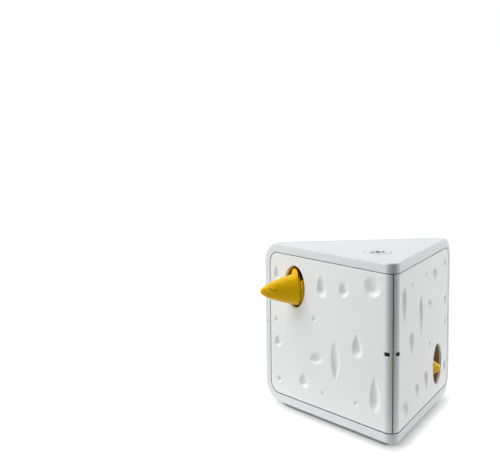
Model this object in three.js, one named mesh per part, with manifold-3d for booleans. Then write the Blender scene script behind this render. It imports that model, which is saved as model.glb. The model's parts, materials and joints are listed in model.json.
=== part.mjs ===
// Automatic cat toy: a three-cornered white housing dented like cheese, with two yellow mice
// on a geared rack drive, the upper one peeping out to the left while the lower one is in.
// Millimetres, +Z up. The origin is the middle of the toy's footprint box, on the floor.

import * as THREE from 'three';
import { mergeVertices } from 'three/addons/utils/BufferGeometryUtils.js';
import Module from 'manifold-3d';

const wasm = await Module();
wasm.setup();

// Housing
const housingHeight = 201;
const sideLength = 251;
const cornerRadius = 10;
const backEdgeRadius = 25;
const plateWall = 3;
const shellLip = 2.6;
const bandHeight = 12;
const lipWidth = 3.5;
const seatGap = 0.3;
const seamGap = 0.8;
const overrun = 2;

// Cheese panels, one moulding used twice
const panelEndInset = 25;
const panelThickness = 2.5;
const panelCornerRadius = 14;
const dentBacking = 2.2;
const latchOffset = 6.1;
const latchWidth = 5;
const latchHeight = 4.2;
const latchRecess = 0.8;
const latchDepth = 12;

// Mouse holes, measured on the face
const holeWidth = 39;
const holeHeightShare = 0.254;
const holeRiseShare = 0.254;
const holeEndInset = 74;
const tunnelWall = 1.8;
const tunnelFlange = 4;
const tunnelLength = 17;

// Mice
const headLength = 48;
const headRoom = 10.4;
const headWidth = 31;
const headDrop = 3;
const snoutDroop = 1.6;
const mouseReach = 41.6;
const collarThickness = 3;
const collarClearance = 1.2;
const collarTopShare = 0.18;
const neckRadius = 8;
const neckLength = 14;
const socketDepth = 8;
const spigotRadius = 5;
const earHalfWidth = 3.2;
const earHalfHeight = 9.3;
const earHalfDepth = 3.8;
const earSpread = 6.2;
const earDrop = 8.2;
const earSetback = 4.6;
const earLean = Math.PI / 10;
const whiskerRadius = 0.7;
const whiskerLength = 11;

// Rack drive, with the modules of its rack and gears as gauges
const rackGauge = 1;
const pinionTeeth = 14;
const travelTeeth = 12;
const gearGauge = 0.9;
const wheelTeeth = 24;
const curvedTeeth = 12;
const smallTeeth = 10;
const toothPlay = 0.16;
const deckThickness = 3;
const gearWidth = 3.5;
const gearGap = 1.3;
const hubWall = 1.4;
const pinionWidth = 7;
const barHeight = 12;
const barLift = 7;
const barDepth = 17.5;
const rodRadius = 2;
const rodOffset = 7;
const rodLift = 7;
const railWidth = 3;
const railOffset = 11.7;
const railHeight = 10;
const armThickness = 5;
const armWidth = 12;
const bracketThickness = 3.5;
const bracketClearance = 3;
const bracketHalfWidth = 6;
const shaftRadius = 2;
const pinRadius = 1.5;
const bushWall = 1.7;
const coverThickness = 2.5;
const coverMargin = 4;
const pillarRadius = 2.8;
const pillarSpread = 18.5;
const rackEndTeeth = 2;

// Motor
const motorRadius = 12;
const motorLength = 27;
const motorShaftRadius = 1;
const motorBossRadius = 3;
const motorBossHeight = 1.5;
const motorChamfer = 1;
const motorScrewSpread = 8;

// Button and circuit board
const buttonRadius = 16;
const buttonReach = 91.5;
const buttonClearance = 0.5;
const buttonProud = 0.5;
const buttonTravel = 1.2;
const buttonFlange = 2.4;
const flangeThickness = 2;
const stemRadius = 2.6;
const boardThickness = 1.6;
const boardWidth = 48;
const boardDepth = 52;
const boardDrop = 12;
const switchSize = 6.2;
const switchHeight = 3.5;
const plungerRadius = 1.7;
const plungerHeight = 1.6;
const plungerSeat = 1;

// Batteries
const cellRadius = 13.1;
const cellLength = 49;
const cellRim = 0.8;
const cellNubLength = 1;
const cellNubRadius = 4;
const cellPitch = 26.8;
const trayWall = 1.5;
const trayReach = 81;
const contactThickness = 0.5;
const contactWidth = 13;
const coilHeight = 2.4;
const coilOuter = 5.6;
const coilInner = 2.9;
const coilWire = 0.8;
const coilTurns = 1.75;
const doorThickness = 2;
const doorTabLength = 9;
const doorTabHalfWidth = 9;
const tongueLength = 2;
const tongueWidth = 12;
const tongueThickness = 1;

// Fasteners and feet
const bossRadius = 4.6;
const wellRadius = 3.3;
const frontBossReach = 46;
const rearBossInset = 33.4;
const rearBossSideInset = 46.2;
const screwRadius = 1.3;
const screwHeadRadius = 2.6;
const screwHeadHeight = 1.8;
const screwLength = 12;
const doorScrewLength = 8;
const smallScrewRadius = 0.9;
const smallScrewHeadRadius = 1.8;
const smallScrewHeadHeight = 1.2;
const smallScrewLength = 6;
const footRadius = 7;
const footHeight = 2;
const footSocket = 1;
const frontFootReach = 27;
const rearFootInset = 36.4;
const rearFootSideInset = 18.5;

// Facets, arcs having twice the steps, and tooth form
const cornerSteps = 5;
const innerSteps = 2;
const roundSteps = 12;
const headSteps = 16;
const smallSteps = 8;
const holeSteps = 24;
const buttonSteps = 24;
const boreSteps = 10;
const footSteps = 16;
const screwSteps = 6;
const headRings = 7;
const dentSteps = 12;
const dentRings = 5;
const weldShare = 1e-6;
const pressureAngle = Math.PI / 9;
const addendumShare = 0.85;
const dedendumShare = 1.25;
const gapPhaseShare = 0.5;

// Derived sizes
const halfCorner = Math.PI / 6;
const slope = Math.tan(halfCorner);
const along = new THREE.Vector3(-Math.sin(halfCorner), Math.cos(halfCorner), 0);
const inward = new THREE.Vector3(Math.cos(halfCorner), Math.sin(halfCorner), 0);
const up = new THREE.Vector3(0, 0, 1);
const halfTurn = new THREE.Matrix4().makeRotationY(Math.PI).setPosition(0, 0, housingHeight);
const housingDepth = sideLength * Math.cos(halfCorner);
const middle = housingHeight / 2;
const panelReach = sideLength - panelEndInset;
const holeReach = sideLength - holeEndInset;
const holeHeight = housingHeight * holeHeightShare;
const holeRise = housingHeight * holeRiseShare;
const headHeight = holeHeight - headRoom;
const rearBossReach = housingDepth - rearBossInset;
const rearBossSpread = rearBossReach * slope - rearBossSideInset;
const rearFootReach = housingDepth - rearFootInset;
const rearFootSpread = rearFootReach * slope - rearFootSideInset;
const panelSeat = panelThickness + seatGap;
const sideWall = panelSeat + shellLip;
const channelX = holeReach * Math.sin(halfCorner);
const channelY = holeReach * Math.cos(halfCorner);
const holeHalfY = holeWidth / 2 * Math.cos(halfCorner);
const holeHalfZ = holeHeight / 2;
const deckTop = middle + deckThickness / 2;
const deckBottom = middle - deckThickness / 2;
const levelOne = deckTop + gearGap;
const levelTwo = levelOne + gearWidth + gearGap;
const pinionLevel = levelTwo + gearWidth + gearGap;
const barBottom = deckTop + barLift;
const barTop = barBottom + barHeight;
const coverLevel = barTop + gearGap;
const coverTop = coverLevel + coverThickness;
const rackPitch = Math.PI * rackGauge;
const travel = travelTeeth * rackPitch;
const barFront = channelY - barDepth / 2;
const pinionRadius = pinionTeeth * rackGauge / 2;
const shaftY = barFront - dedendumShare * rackGauge - pinionRadius;
const gearSpacing = (wheelTeeth + smallTeeth) * gearGauge / 2;
const idlerY = shaftY - gearSpacing;
const motorY = idlerY - gearSpacing;
const rodY = barFront + rodOffset;
const rodLevel = barBottom + rodLift;
const railY = barFront + railOffset;
const collarFace = channelX + mouseReach - headLength;
const armFace = collarFace - collarThickness - neckLength;
const rackEnd = rackEndTeeth * rackPitch;
const rodLow = -armFace - bracketClearance;
const rodHigh = rackEnd + travel + bracketClearance;
const trayHalf = cellPitch + cellRadius + seatGap;
const trayLength = cellLength + cellNubLength + coilHeight + 2 * contactThickness + 4 * seatGap;
const trayBack = trayReach + trayLength;
const cellLevel = doorThickness + seatGap + cellRadius;
const trayRoof = cellLevel + cellRadius + seatGap;
const wellTop = deckBottom - screwLength / 2;
const boardTop = housingHeight - plateWall - boardDrop;
const doorScrewY = trayReach - doorTabLength / 2;

const places = {
  bosses: [[0, frontBossReach], [-rearBossSpread, rearBossReach], [rearBossSpread, rearBossReach]],
  feet: [[0, frontFootReach], [-rearFootSpread, rearFootReach], [rearFootSpread, rearFootReach]],
  board: [-1, 1].map((side) => [
    side * (boardWidth / 2 - bossRadius), buttonReach + boardDepth / 2 - bossRadius,
  ]),
  cover: [-1, 1].flatMap((side) => [[side * pillarSpread, shaftY], [side * pillarSpread, motorY]]),
  bridge: [-1, 1].map((side) => [side * pillarSpread, shaftY]),
};

// A closed three.js geometry as a manifold solid, welded at a millionth of the height.
function solid(geometry) {
  const loose = geometry.index ? geometry.toNonIndexed() : geometry;
  const bare = new THREE.BufferGeometry();
  bare.setAttribute('position', loose.getAttribute('position'));
  const merged = mergeVertices(bare, weldShare * housingHeight);
  const vertProperties = merged.attributes.position.array;
  const triVerts = new Uint32Array(merged.index.array);
  return new wasm.Manifold(new wasm.Mesh({ numProp: 3, vertProperties, triVerts }));
}

function geometryOf(shape) {
  const mesh = shape.getMesh();
  const geometry = new THREE.BufferGeometry();
  geometry.setAttribute('position', new THREE.BufferAttribute(mesh.vertProperties, 3));
  geometry.setIndex(new THREE.BufferAttribute(mesh.triVerts, 1));
  geometry.computeVertexNormals();
  return geometry;
}

// The same solid moved by a matrix that doesn't mirror it.
function moved(shape, matrix) {
  const geometry = geometryOf(shape).applyMatrix4(matrix);
  const vertProperties = geometry.attributes.position.array;
  return new wasm.Manifold(new wasm.Mesh({ numProp: 3, vertProperties, triVerts: geometry.index.array }));
}

// The half turn about the housing's middle that carries the left side to the right one.
function turned(shape) {
  return moved(shape, halfTurn);
}

function join(shapes) {
  return shapes.reduce((whole, next) => whole.add(next));
}

function block(low, high) {
  const size = high.map((value, axis) => value - low[axis]);
  const centre = high.map((value, axis) => (value + low[axis]) / 2);
  return solid(new THREE.BoxGeometry(...size).translate(...centre));
}

// Round bars standing up, lying along X and lying along Y, each between two limits.
function drum(radius, low, high, x, y, steps = roundSteps) {
  const shape = new THREE.CylinderGeometry(radius, radius, high - low, steps);
  return solid(shape.rotateX(Math.PI / 2).translate(x, y, (low + high) / 2));
}

function bar(radius, low, high, y, z, steps = roundSteps) {
  const shape = new THREE.CylinderGeometry(radius, radius, high - low, steps);
  return solid(shape.rotateZ(Math.PI / 2).translate((low + high) / 2, y, z));
}

function drums(radius, low, high, spots, steps = roundSteps) {
  return join(spots.map(([x, y]) => drum(radius, low, high, x, y, steps)));
}

function rounded(points, centreX, centreY, steps = roundSteps) {
  const profile = points.map(([radius, level]) => new THREE.Vector2(radius, level));
  return new THREE.LatheGeometry(profile, steps).rotateX(Math.PI / 2).translate(centreX, centreY, 0);
}

function upright(outline, low, high, curveSegments = cornerSteps) {
  const shape = new THREE.ExtrudeGeometry(outline, { depth: high - low, bevelEnabled: false, curveSegments });
  return solid(shape.translate(0, 0, low));
}

// An outline drawn in Y and Z, extruded along X.
function crosswise(outline, low, high, curveSegments = cornerSteps) {
  const shape = new THREE.ExtrudeGeometry(outline, { depth: high - low, bevelEnabled: false, curveSegments });
  const turn = new THREE.Matrix4().makeBasis(new THREE.Vector3(0, 1, 0), up, new THREE.Vector3(1, 0, 0));
  return solid(shape.translate(0, 0, low).applyMatrix4(turn));
}

// An outline drawn on the left face, reach from the sharp front corner and height, cut to a depth.
function faceward(outline, low, high, curveSegments = cornerSteps) {
  const shape = new THREE.ExtrudeGeometry(outline, { depth: high - low, bevelEnabled: false, curveSegments });
  const turn = new THREE.Matrix4().makeBasis(along, up, inward);
  return solid(shape.translate(0, 0, low).applyMatrix4(turn));
}

// The housing's plan: an equal-sided triangle with round corners, its sharp front corner at zero.
function planOutline(sideInset, backInset) {
  const radius = Math.max(cornerRadius - sideInset, seatGap);
  const front = sideInset / Math.sin(halfCorner);
  const back = housingDepth - backInset;
  const half = (back - front) * slope;
  const centreHalf = half - radius / slope;
  const outline = new THREE.Shape();
  outline.absarc(0, front + radius / Math.sin(halfCorner), radius, -Math.PI + halfCorner, -halfCorner, false);
  outline.absarc(centreHalf, back - radius, radius, -halfCorner, Math.PI / 2, false);
  outline.absarc(-centreHalf, back - radius, radius, Math.PI / 2, Math.PI + halfCorner, false);
  return outline;
}

// The housing's side view: square at the front, with the back edges rounded off.
function sideOutline(backInset, endInset) {
  const radius = backEdgeRadius - backInset;
  const back = housingDepth - backInset;
  const top = housingHeight - endInset;
  const outline = new THREE.Shape();
  outline.absarc(back - radius, endInset + radius, radius, -Math.PI / 2, 0, false);
  outline.absarc(back - radius, top - radius, radius, 0, Math.PI / 2, false);
  outline.lineTo(-overrun, top);
  outline.lineTo(-overrun, endInset);
  return outline;
}

function housingBlank(sideInset, backInset, endInset, steps = cornerSteps) {
  const plan = upright(planOutline(sideInset, backInset), endInset, housingHeight - endInset, steps);
  return plan.intersect(crosswise(sideOutline(backInset, endInset), -sideLength, sideLength, steps));
}

// A panel's outline on the left face, drawn in or grown by a margin.
function panelOutline(margin) {
  const far = panelReach + margin;
  const low = bandHeight - margin;
  const high = housingHeight - bandHeight + margin;
  const radius = panelCornerRadius + margin;
  const outline = new THREE.Shape();
  outline.absarc(far - radius, low + radius, radius, -Math.PI / 2, 0, false);
  outline.absarc(far - radius, high - radius, radius, 0, Math.PI / 2, false);
  outline.lineTo(-sideWall, high);
  outline.lineTo(-sideWall, low);
  return outline;
}

// The upper hole's passage, which runs straight along X through the left face.
function passage(margin, low, high) {
  const outline = new THREE.Shape();
  const halfWidth = holeHalfY + margin;
  outline.absellipse(channelY, middle + holeRise, halfWidth, holeHalfZ + margin, 0, Math.PI * 2, false, 0);
  return crosswise(outline, low, high, holeSteps / 2);
}

// Dents of the panel as shares of its width from the far seam and of its height: place across,
// place up, width, height, tip form and lean. Form 0 is round, 1 a drop with its tip up, 2 a spindle.
const dentShares = [
  [0.445, 0.833, 0.083, 0.15, 1, 0.12],
  [0.619, 0.845, 0.066, 0.095, 0, 0],
  [0.828, 0.905, 0.122, 0.13, 0, 0.1],
  [0.72, 0.5, 0.084, 0.156, 1, 0],
  [0.555, 0.362, 0.072, 0.285, 2, 0],
  [0.412, 0.33, 0.106, 0.082, 0, -0.3],
  [0.292, 0.137, 0.075, 0.108, 1, 0],
  [0.857, 0.222, 0.082, 0.236, 1, 0],
  [0.07, 0.366, 0.058, 0.086, 1, 0],
  [0.062, 0.86, 0.052, 0.1, 0, 0],
  [0.07, 0.513, 0.03, 0.048, 0, 0],
  [0.383, 0.602, 0.033, 0.046, 0, 0],
  [0.08, 0.1, 0.04, 0.054, 0, 0],
  [0.455, 0.112, 0.029, 0.042, 0, 0],
  [0.716, 0.125, 0.03, 0.044, 0, 0],
];
const dentDepthShare = 0.16;
const dentSmallShare = 0.05;
const dentPinchShare = 0.42;
const dentBellyShare = 0.35;
const dentRiseShare = 0.5;

// One dent as a bulging lens whose widest ring lies outside the face.
function dentLens([across, rise, wide, tall, form, lean], growth, sides, rings) {
  const height = housingHeight - 2 * bandHeight;
  const rim = Math.sqrt(1 - dentRiseShare * dentRiseShare);
  const halfWide = (wide * panelReach / 2 + growth) / rim;
  const halfTall = (tall * height / 2 + growth) / rim;
  const depth = dentDepthShare * Math.min(wide * panelReach, tall * height) + growth;
  const deep = depth / (1 - dentRiseShare);
  const lens = new THREE.SphereGeometry(1, sides, rings).rotateX(Math.PI / 2);
  const place = lens.getAttribute('position');
  for (let i = 0; i < place.count; i += 1) {
    const y = place.getY(i);
    const drop = 1 - form * dentPinchShare * (y + dentBellyShare);
    const pinch = form === 2 ? Math.sqrt(Math.max(1 - y * y, 0)) : drop;
    place.setX(i, place.getX(i) * pinch - lean * y);
  }
  lens.scale(halfWide, halfTall, deep);
  lens.translate(panelReach - across * panelReach, bandHeight + rise * height, -dentRiseShare * deep);
  return solid(lens.applyMatrix4(new THREE.Matrix4().makeBasis(along, up, inward)));
}

// The slot beside the front seam that the deck's tab shows through, on the left side.
function latchSlot(margin) {
  const half = latchHeight / 2 + margin;
  const low = [-latchOffset - latchWidth / 2 - margin, 0, middle - half];
  const high = [-latchOffset + latchWidth / 2 + margin, latchDepth * 2, middle + half];
  return block(low, high);
}

function leftPanel() {
  const skin = housingBlank(0, 0, 0).subtract(housingBlank(panelThickness, panelThickness, panelThickness));
  const leftHalf = block([-sideLength, -overrun, 0], [-seamGap / 2, housingDepth, housingHeight]);
  const depth = sideWall + panelThickness;
  const face = faceward(panelOutline(-lipWidth - seamGap), 0, depth);
  const large = dentShares.filter((share) => share[2] >= dentSmallShare);
  const lenses = join(large.map((share) => dentLens(share, dentBacking, smallSteps, dentRings)));
  const backing = housingBlank(panelThickness / 2, 0, 0).intersect(lenses);
  const bulges = backing.intersect(face).intersect(leftHalf);
  const plate = skin.intersect(faceward(panelOutline(0), -overrun, depth)).intersect(leftHalf).add(bulges);
  const dents = join(dentShares.map((share) => {
    const small = share[2] < dentSmallShare;
    return dentLens(share, 0, small ? smallSteps : dentSteps, small ? smallSteps / 2 : dentRings);
  }));
  const hole = passage(0, -sideLength, 0);
  return plate.subtract(dents).subtract(hole).subtract(latchSlot(0));
}

// The hollow housing before it is parted, with its pockets and windows for the panels.
function hollowHousing() {
  const pocketFloor = housingBlank(panelSeat, panelSeat, panelSeat);
  const pocket = faceward(panelOutline(seamGap), -overrun, sideWall * 2).subtract(pocketFloor);
  const window = faceward(panelOutline(-lipWidth), 0, sideWall * 2);
  const hollow = housingBlank(0, 0, 0).subtract(housingBlank(sideWall, plateWall, plateWall, innerSteps));
  return hollow.subtract(join([pocket, window, turned(pocket), turned(window)]));
}

function upperShell(whole) {
  const low = middle + seatGap / 2;
  const high = housingHeight;
  const half = whole.intersect(block([-sideLength, -overrun, low], [sideLength, housingDepth, high]));
  const roof = high - plateWall / 2;
  const bosses = drums(bossRadius, deckTop + seatGap, roof, places.bosses, boreSteps);
  const boardBosses = drums(pillarRadius, boardTop + seatGap, roof, places.board, boreSteps);
  const holes = drums(screwRadius + seatGap, middle, deckTop + screwLength, places.bosses, smallSteps);
  const boardReach = boardTop + smallScrewLength;
  const boardHoles = drums(smallScrewRadius + seatGap, middle, boardReach, places.board, smallSteps);
  const buttonBore = buttonRadius + buttonClearance;
  const hole = drum(buttonBore, boardTop, high + overrun, 0, buttonReach, buttonSteps);
  return half.add(bosses).add(boardBosses).subtract(join([hole, holes, boardHoles]));
}

// Slots in the floor's edge behind the battery bay, or the door's tongues that enter them.
function tongues(margin) {
  const low = doorThickness - tongueThickness - margin;
  const high = doorThickness + margin;
  const reach = trayBack + tongueLength + margin;
  const half = tongueWidth / 2 + margin;
  const spots = [-1, 1].map((side) => side * trayHalf / 2);
  return join(spots.map((x) => block([x - half, trayBack - tongueLength, low], [x + half, reach, high])));
}

// The battery door's outline box, or with a margin its opening, from one level to another.
function doorBlock(margin, low, high) {
  const wide = trayHalf + margin;
  const plate = block([-wide, trayReach - margin, low], [wide, trayBack + margin, high]);
  const front = trayReach - doorTabLength - margin;
  const half = doorTabHalfWidth + margin;
  return plate.add(block([-half, front, low], [half, trayReach + trayWall, high]));
}

function lowerShell(whole) {
  const high = middle - seatGap / 2;
  const half = whole.intersect(block([-sideLength, -overrun, 0], [sideLength, housingDepth, high]));
  const floor = plateWall / 2;
  const bosses = drums(bossRadius, floor, deckBottom - seatGap, places.bosses, boreSteps);
  const trayLow = [-trayHalf - trayWall, trayReach - trayWall, floor];
  const tray = block(trayLow, [trayHalf + trayWall, trayBack + trayWall, trayRoof + trayWall]);
  const doorBoss = drum(bossRadius, floor, doorThickness + doorScrewLength + floor, 0, doorScrewY, boreSteps);
  const bay = block([-trayHalf, trayReach, -overrun], [trayHalf, trayBack, trayRoof]);
  const wells = drums(wellRadius, -overrun, wellTop, places.bosses, boreSteps);
  const holes = drums(screwRadius + seatGap, 0, middle, places.bosses, smallSteps);
  const feet = drums(footRadius + seatGap, -overrun, footSocket, places.feet, footSteps);
  const doorBore = smallScrewRadius + seatGap;
  const doorHole = drum(doorBore, 0, doorThickness + doorScrewLength, 0, doorScrewY, smallSteps);
  const opening = doorBlock(0, -overrun, doorThickness + seatGap);
  const cuts = join([bay, opening, tongues(seatGap), wells, holes, feet, doorHole]);
  return half.add(join([tray, doorBoss, bosses])).subtract(cuts);
}

function batteryDoor() {
  const head = drum(smallScrewHeadRadius + seatGap, -overrun, smallScrewHeadHeight, 0, doorScrewY);
  const hole = drum(smallScrewRadius + seatGap, -overrun, doorThickness * 2, 0, doorScrewY, smallSteps);
  return doorBlock(-seatGap, 0, doorThickness).add(tongues(0)).subtract(head).subtract(hole);
}

// The yellow liner behind the left panel's hole.
function upperTunnel() {
  const behind = housingBlank(panelSeat, panelSeat, panelSeat);
  const end = tunnelLength - channelX;
  const flange = passage(tunnelFlange, -sideLength, 0);
  const thin = behind.subtract(housingBlank(panelSeat + tunnelWall, panelSeat, panelSeat)).intersect(flange);
  const tube = passage(tunnelWall, -sideLength, end).intersect(behind);
  return tube.add(thin.intersect(block([-sideLength, 0, 0], [end, housingDepth, housingHeight])))
    .subtract(passage(0, -sideLength, 0));
}

// A spur wheel standing on the gear line, with a tooth towards +Y, or a gap at the gap's phase share.
function spur(gauge, teeth, low, high, y, phaseShare) {
  const pitch = teeth * gauge / 2;
  const base = pitch * Math.cos(pressureAngle);
  const roll = (angle) => Math.tan(angle) - angle;
  const halfTooth = Math.PI / (2 * teeth) - toothPlay / (2 * pitch) + roll(pressureAngle);
  const radii = [pitch - dedendumShare * gauge, pitch + addendumShare * gauge];
  if (teeth < curvedTeeth) {
    radii.splice(1, 0, pitch);
  }
  const flank = radii.map((radius) => {
    const pressure = Math.acos(base / Math.max(radius, base));
    return [radius, halfTooth - roll(pressure)];
  });
  const tooth = [...flank.map(([radius, half]) => [radius, -half]), ...[...flank].reverse()];
  const outline = new THREE.Shape();
  for (let i = 0; i < teeth; i += 1) {
    const centre = Math.PI / 2 + (i + phaseShare) * 2 * Math.PI / teeth;
    tooth.forEach(([radius, angle], index) => {
      const point = [radius * Math.cos(centre + angle), radius * Math.sin(centre + angle)];
      return i + index === 0 ? outline.moveTo(...point) : outline.lineTo(...point);
    });
  }
  return moved(upright(outline, low, high), new THREE.Matrix4().makeTranslation(0, y, 0));
}

// The output wheel and the upper rack's pinion in one moulding, bored for the drive shaft.
function outputGear() {
  const bore = shaftRadius + seatGap;
  const neck = drum(bore + hubWall / 2, levelOne, pinionLevel, 0, shaftY);
  const hub = drum(bore + hubWall, pinionLevel, coverLevel - seatGap, 0, shaftY);
  const wheel = spur(gearGauge, wheelTeeth, levelOne, levelOne + gearWidth, shaftY, 0);
  const pinion = spur(rackGauge, pinionTeeth, pinionLevel, pinionLevel + pinionWidth, shaftY, 0);
  return join([wheel, neck, hub, pinion]).subtract(drum(bore, deckTop, coverTop, 0, shaftY));
}

function rackPinion() {
  const bore = shaftRadius + seatGap;
  const pinion = spur(rackGauge, pinionTeeth, pinionLevel, pinionLevel + pinionWidth, shaftY, 0);
  const hub = drum(bore + hubWall, deckTop + seatGap, coverLevel - seatGap, 0, shaftY);
  return pinion.add(hub).subtract(drum(bore, deckBottom, coverTop, 0, shaftY));
}

function idlerGear() {
  const bore = pinRadius + seatGap;
  const hub = drum(bore + hubWall, deckTop + seatGap, coverLevel - seatGap, 0, idlerY);
  const small = spur(gearGauge, smallTeeth, levelOne, levelTwo, idlerY, gapPhaseShare);
  const wheel = spur(gearGauge, wheelTeeth, levelTwo, levelTwo + gearWidth, idlerY, 0);
  return join([hub, small, wheel]).subtract(drum(bore, deckBottom, coverTop, 0, idlerY));
}

// The motor's gear with its shaft, which reaches down into the motor.
function motorGear() {
  const top = levelTwo + gearWidth;
  const gear = spur(gearGauge, smallTeeth, levelTwo, top, motorY, gapPhaseShare);
  return gear.add(drum(motorShaftRadius, deckBottom - motorLength / 2, top, 0, motorY, smallSteps));
}

function motorCan() {
  const top = deckBottom - seatGap;
  const foot = top - motorLength;
  const hole = motorShaftRadius + seatGap;
  const profile = [
    [0, foot], [motorRadius - motorChamfer, foot], [motorRadius, foot + motorChamfer],
    [motorRadius, top - motorChamfer], [motorRadius - motorChamfer, top], [motorBossRadius, top],
    [motorBossRadius, top + motorBossHeight], [hole, top + motorBossHeight],
    [hole, deckBottom - motorLength / 2 - seatGap], [0, deckBottom - motorLength / 2 - seatGap],
  ];
  const spots = [[-motorScrewSpread, motorY], [motorScrewSpread, motorY]];
  const holes = drums(smallScrewRadius + seatGap, deckBottom - smallScrewLength, deckTop, spots, smallSteps);
  return solid(rounded(profile, 0, motorY)).subtract(holes);
}

// Guide brackets and the rail for the upper rack bar; the half turn gives the lower ones.
function guides() {
  const top = rodLevel + rodRadius + bracketThickness;
  const span = [rodY - bracketHalfWidth, rodY + bracketHalfWidth];
  const left = block([rodLow - bracketThickness, span[0], middle], [rodLow, span[1], top]);
  const right = block([rodHigh, span[0], middle], [rodHigh + bracketThickness, span[1], top]);
  const halfRail = railWidth / 2;
  const rail = block([rodLow, railY - halfRail, middle], [rodHigh, railY + halfRail, deckTop + railHeight]);
  const hole = bar(rodRadius + seatGap, rodLow - sideLength, rodHigh + sideLength, rodY, rodLevel, boreSteps);
  return join([left, right, rail]).subtract(hole);
}

function midDeck() {
  const outline = planOutline(sideWall + seatGap, plateWall + seatGap);
  const inside = upright(outline, deckBottom, deckTop, innerSteps);
  const front = latchSlot(-seatGap).intersect(housingBlank(latchRecess, 0, 0));
  const pillars = drums(pillarRadius, middle, coverLevel - seatGap, places.cover, boreSteps);
  const feet = drums(pillarRadius, middle, coverLevel - seatGap, places.bridge, boreSteps);
  const screwEnd = coverTop - smallScrewLength - seatGap;
  const pillarHoles = drums(smallScrewRadius + seatGap, screwEnd, coverTop, places.cover, smallSteps);
  const footHoles = drums(smallScrewRadius + seatGap, screwEnd, coverTop, places.bridge, smallSteps);
  const motorHole = drum(motorBossRadius + seatGap, deckBottom - overrun, deckTop + overrun, 0, motorY);
  const spots = [[-motorScrewSpread, motorY], [motorScrewSpread, motorY]];
  const through = [deckBottom - overrun, deckTop + overrun];
  const cuts = [
    pillarHoles, turned(footHoles), motorHole,
    drum(shaftRadius + bushWall + 2 * seatGap, ...through, 0, shaftY),
    drum(pinRadius + seatGap, ...through, 0, idlerY, smallSteps),
    drums(smallScrewRadius + seatGap, ...through, spots, smallSteps),
    drums(screwRadius + seatGap, ...through, places.bosses, smallSteps),
  ];
  const parts = [inside, front, turned(front), pillars, turned(feet), guides(), turned(guides())];
  return join(parts).subtract(join(cuts));
}

// The flanged bush in the deck that carries the drive shaft.
function deckBush() {
  const bore = shaftRadius + seatGap;
  const outer = bore + bushWall;
  const flangeTop = levelOne - seatGap;
  const profile = [
    [bore, deckBottom], [outer, deckBottom], [outer, deckTop + seatGap],
    [outer + hubWall, deckTop + seatGap], [outer + hubWall, flangeTop], [bore, flangeTop], [bore, deckBottom],
  ];
  return solid(rounded(profile, 0, shaftY));
}

// The plate that closes the gears and holds the shaft's end, from a front edge to behind the shaft.
function coverPlate(front, spots, ends) {
  const half = pillarSpread + coverMargin;
  const back = barFront + rackGauge;
  const plate = block([-half, front, coverLevel], [half, back, coverTop]);
  const through = [coverLevel - overrun, coverTop + overrun];
  const screws = drums(smallScrewRadius + seatGap, ...through, spots, smallSteps);
  const bores = ends.map(([radius, y]) => drum(radius + seatGap, ...through, 0, y));
  return plate.subtract(join([screws, ...bores]));
}

// One mouse's rack bar with its arm, in the place where its mouse is fully out to the left.
function carriage() {
  const depthEnd = barFront + barDepth;
  const body = block([-armFace, barFront, barBottom], [rackEnd, depthEnd, barTop]);
  const armSpan = [channelY - armWidth / 2, channelY + armWidth / 2];
  const armTop = middle + holeRise + armWidth / 2;
  const arm = block([-armFace, armSpan[0], barBottom], [armThickness - armFace, armSpan[1], armTop]);
  const spigotEnds = [seatGap - armFace - socketDepth, armThickness / 2 - armFace];
  const spigot = bar(spigotRadius, ...spigotEnds, channelY, middle + holeRise);
  const slack = toothPlay / 2;
  const run = Math.tan(pressureAngle) * rackGauge;
  const rootHalf = rackPitch / 4 - slack + dedendumShare * run;
  const tipHalf = rackPitch / 4 - slack - addendumShare * run;
  const tip = barFront - (dedendumShare + addendumShare) * rackGauge;
  const teeth = [];
  for (let i = -travelTeeth - rackEndTeeth; i < rackEndTeeth; i += 1) {
    const x = i * rackPitch + rackPitch / 2;
    const outline = new THREE.Shape();
    outline.moveTo(x - rootHalf, barFront);
    outline.lineTo(x - tipHalf, tip);
    outline.lineTo(x + tipHalf, tip);
    outline.lineTo(x + rootHalf, barFront);
    outline.lineTo(x + tipHalf, barFront + rackGauge);
    outline.lineTo(x - tipHalf, barFront + rackGauge);
    teeth.push(upright(outline, barBottom, barTop));
  }
  const hole = bar(rodRadius + seatGap, -armFace - overrun, rackEnd + overrun, rodY, rodLevel, boreSteps);
  const grooveHalf = railWidth / 2 + seatGap;
  const grooveTop = deckTop + railHeight + seatGap;
  const groove = block(
    [-armFace - overrun, railY - grooveHalf, barBottom - overrun],
    [rackEnd + overrun, railY + grooveHalf, grooveTop],
  );
  return join([body, arm, spigot, ...teeth]).subtract(hole).subtract(groove);
}

// The collar and neck behind a mouse's head, with the head's spigot in front.
function mouseBody() {
  const collarBack = collarThickness - collarFace;
  const level = middle + holeRise;
  const collarTop = level + holeHeight * collarTopShare;
  const below = block([-collarFace, 0, 0], [collarBack, housingDepth, collarTop]);
  const collar = passage(-collarClearance, -collarFace, collarBack).intersect(below);
  const neck = bar(neckRadius, -collarFace, -armFace - seatGap, channelY, level);
  const spigot = bar(spigotRadius, -collarFace - socketDepth, collarBack, channelY, level);
  const socket = bar(spigotRadius + seatGap, -armFace - socketDepth - seatGap, -armFace, channelY, level);
  return join([collar, neck, spigot]).subtract(socket);
}

// A mouse's head with its nose at zero, looking along -X, with two cupped ears and its whiskers.
const headBowShare = 0.52;
const earCupShare = 0.72;
const whiskerShares = [[0.3, 0.06, -0.5], [0.33, -0.12, -0.72]];

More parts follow.
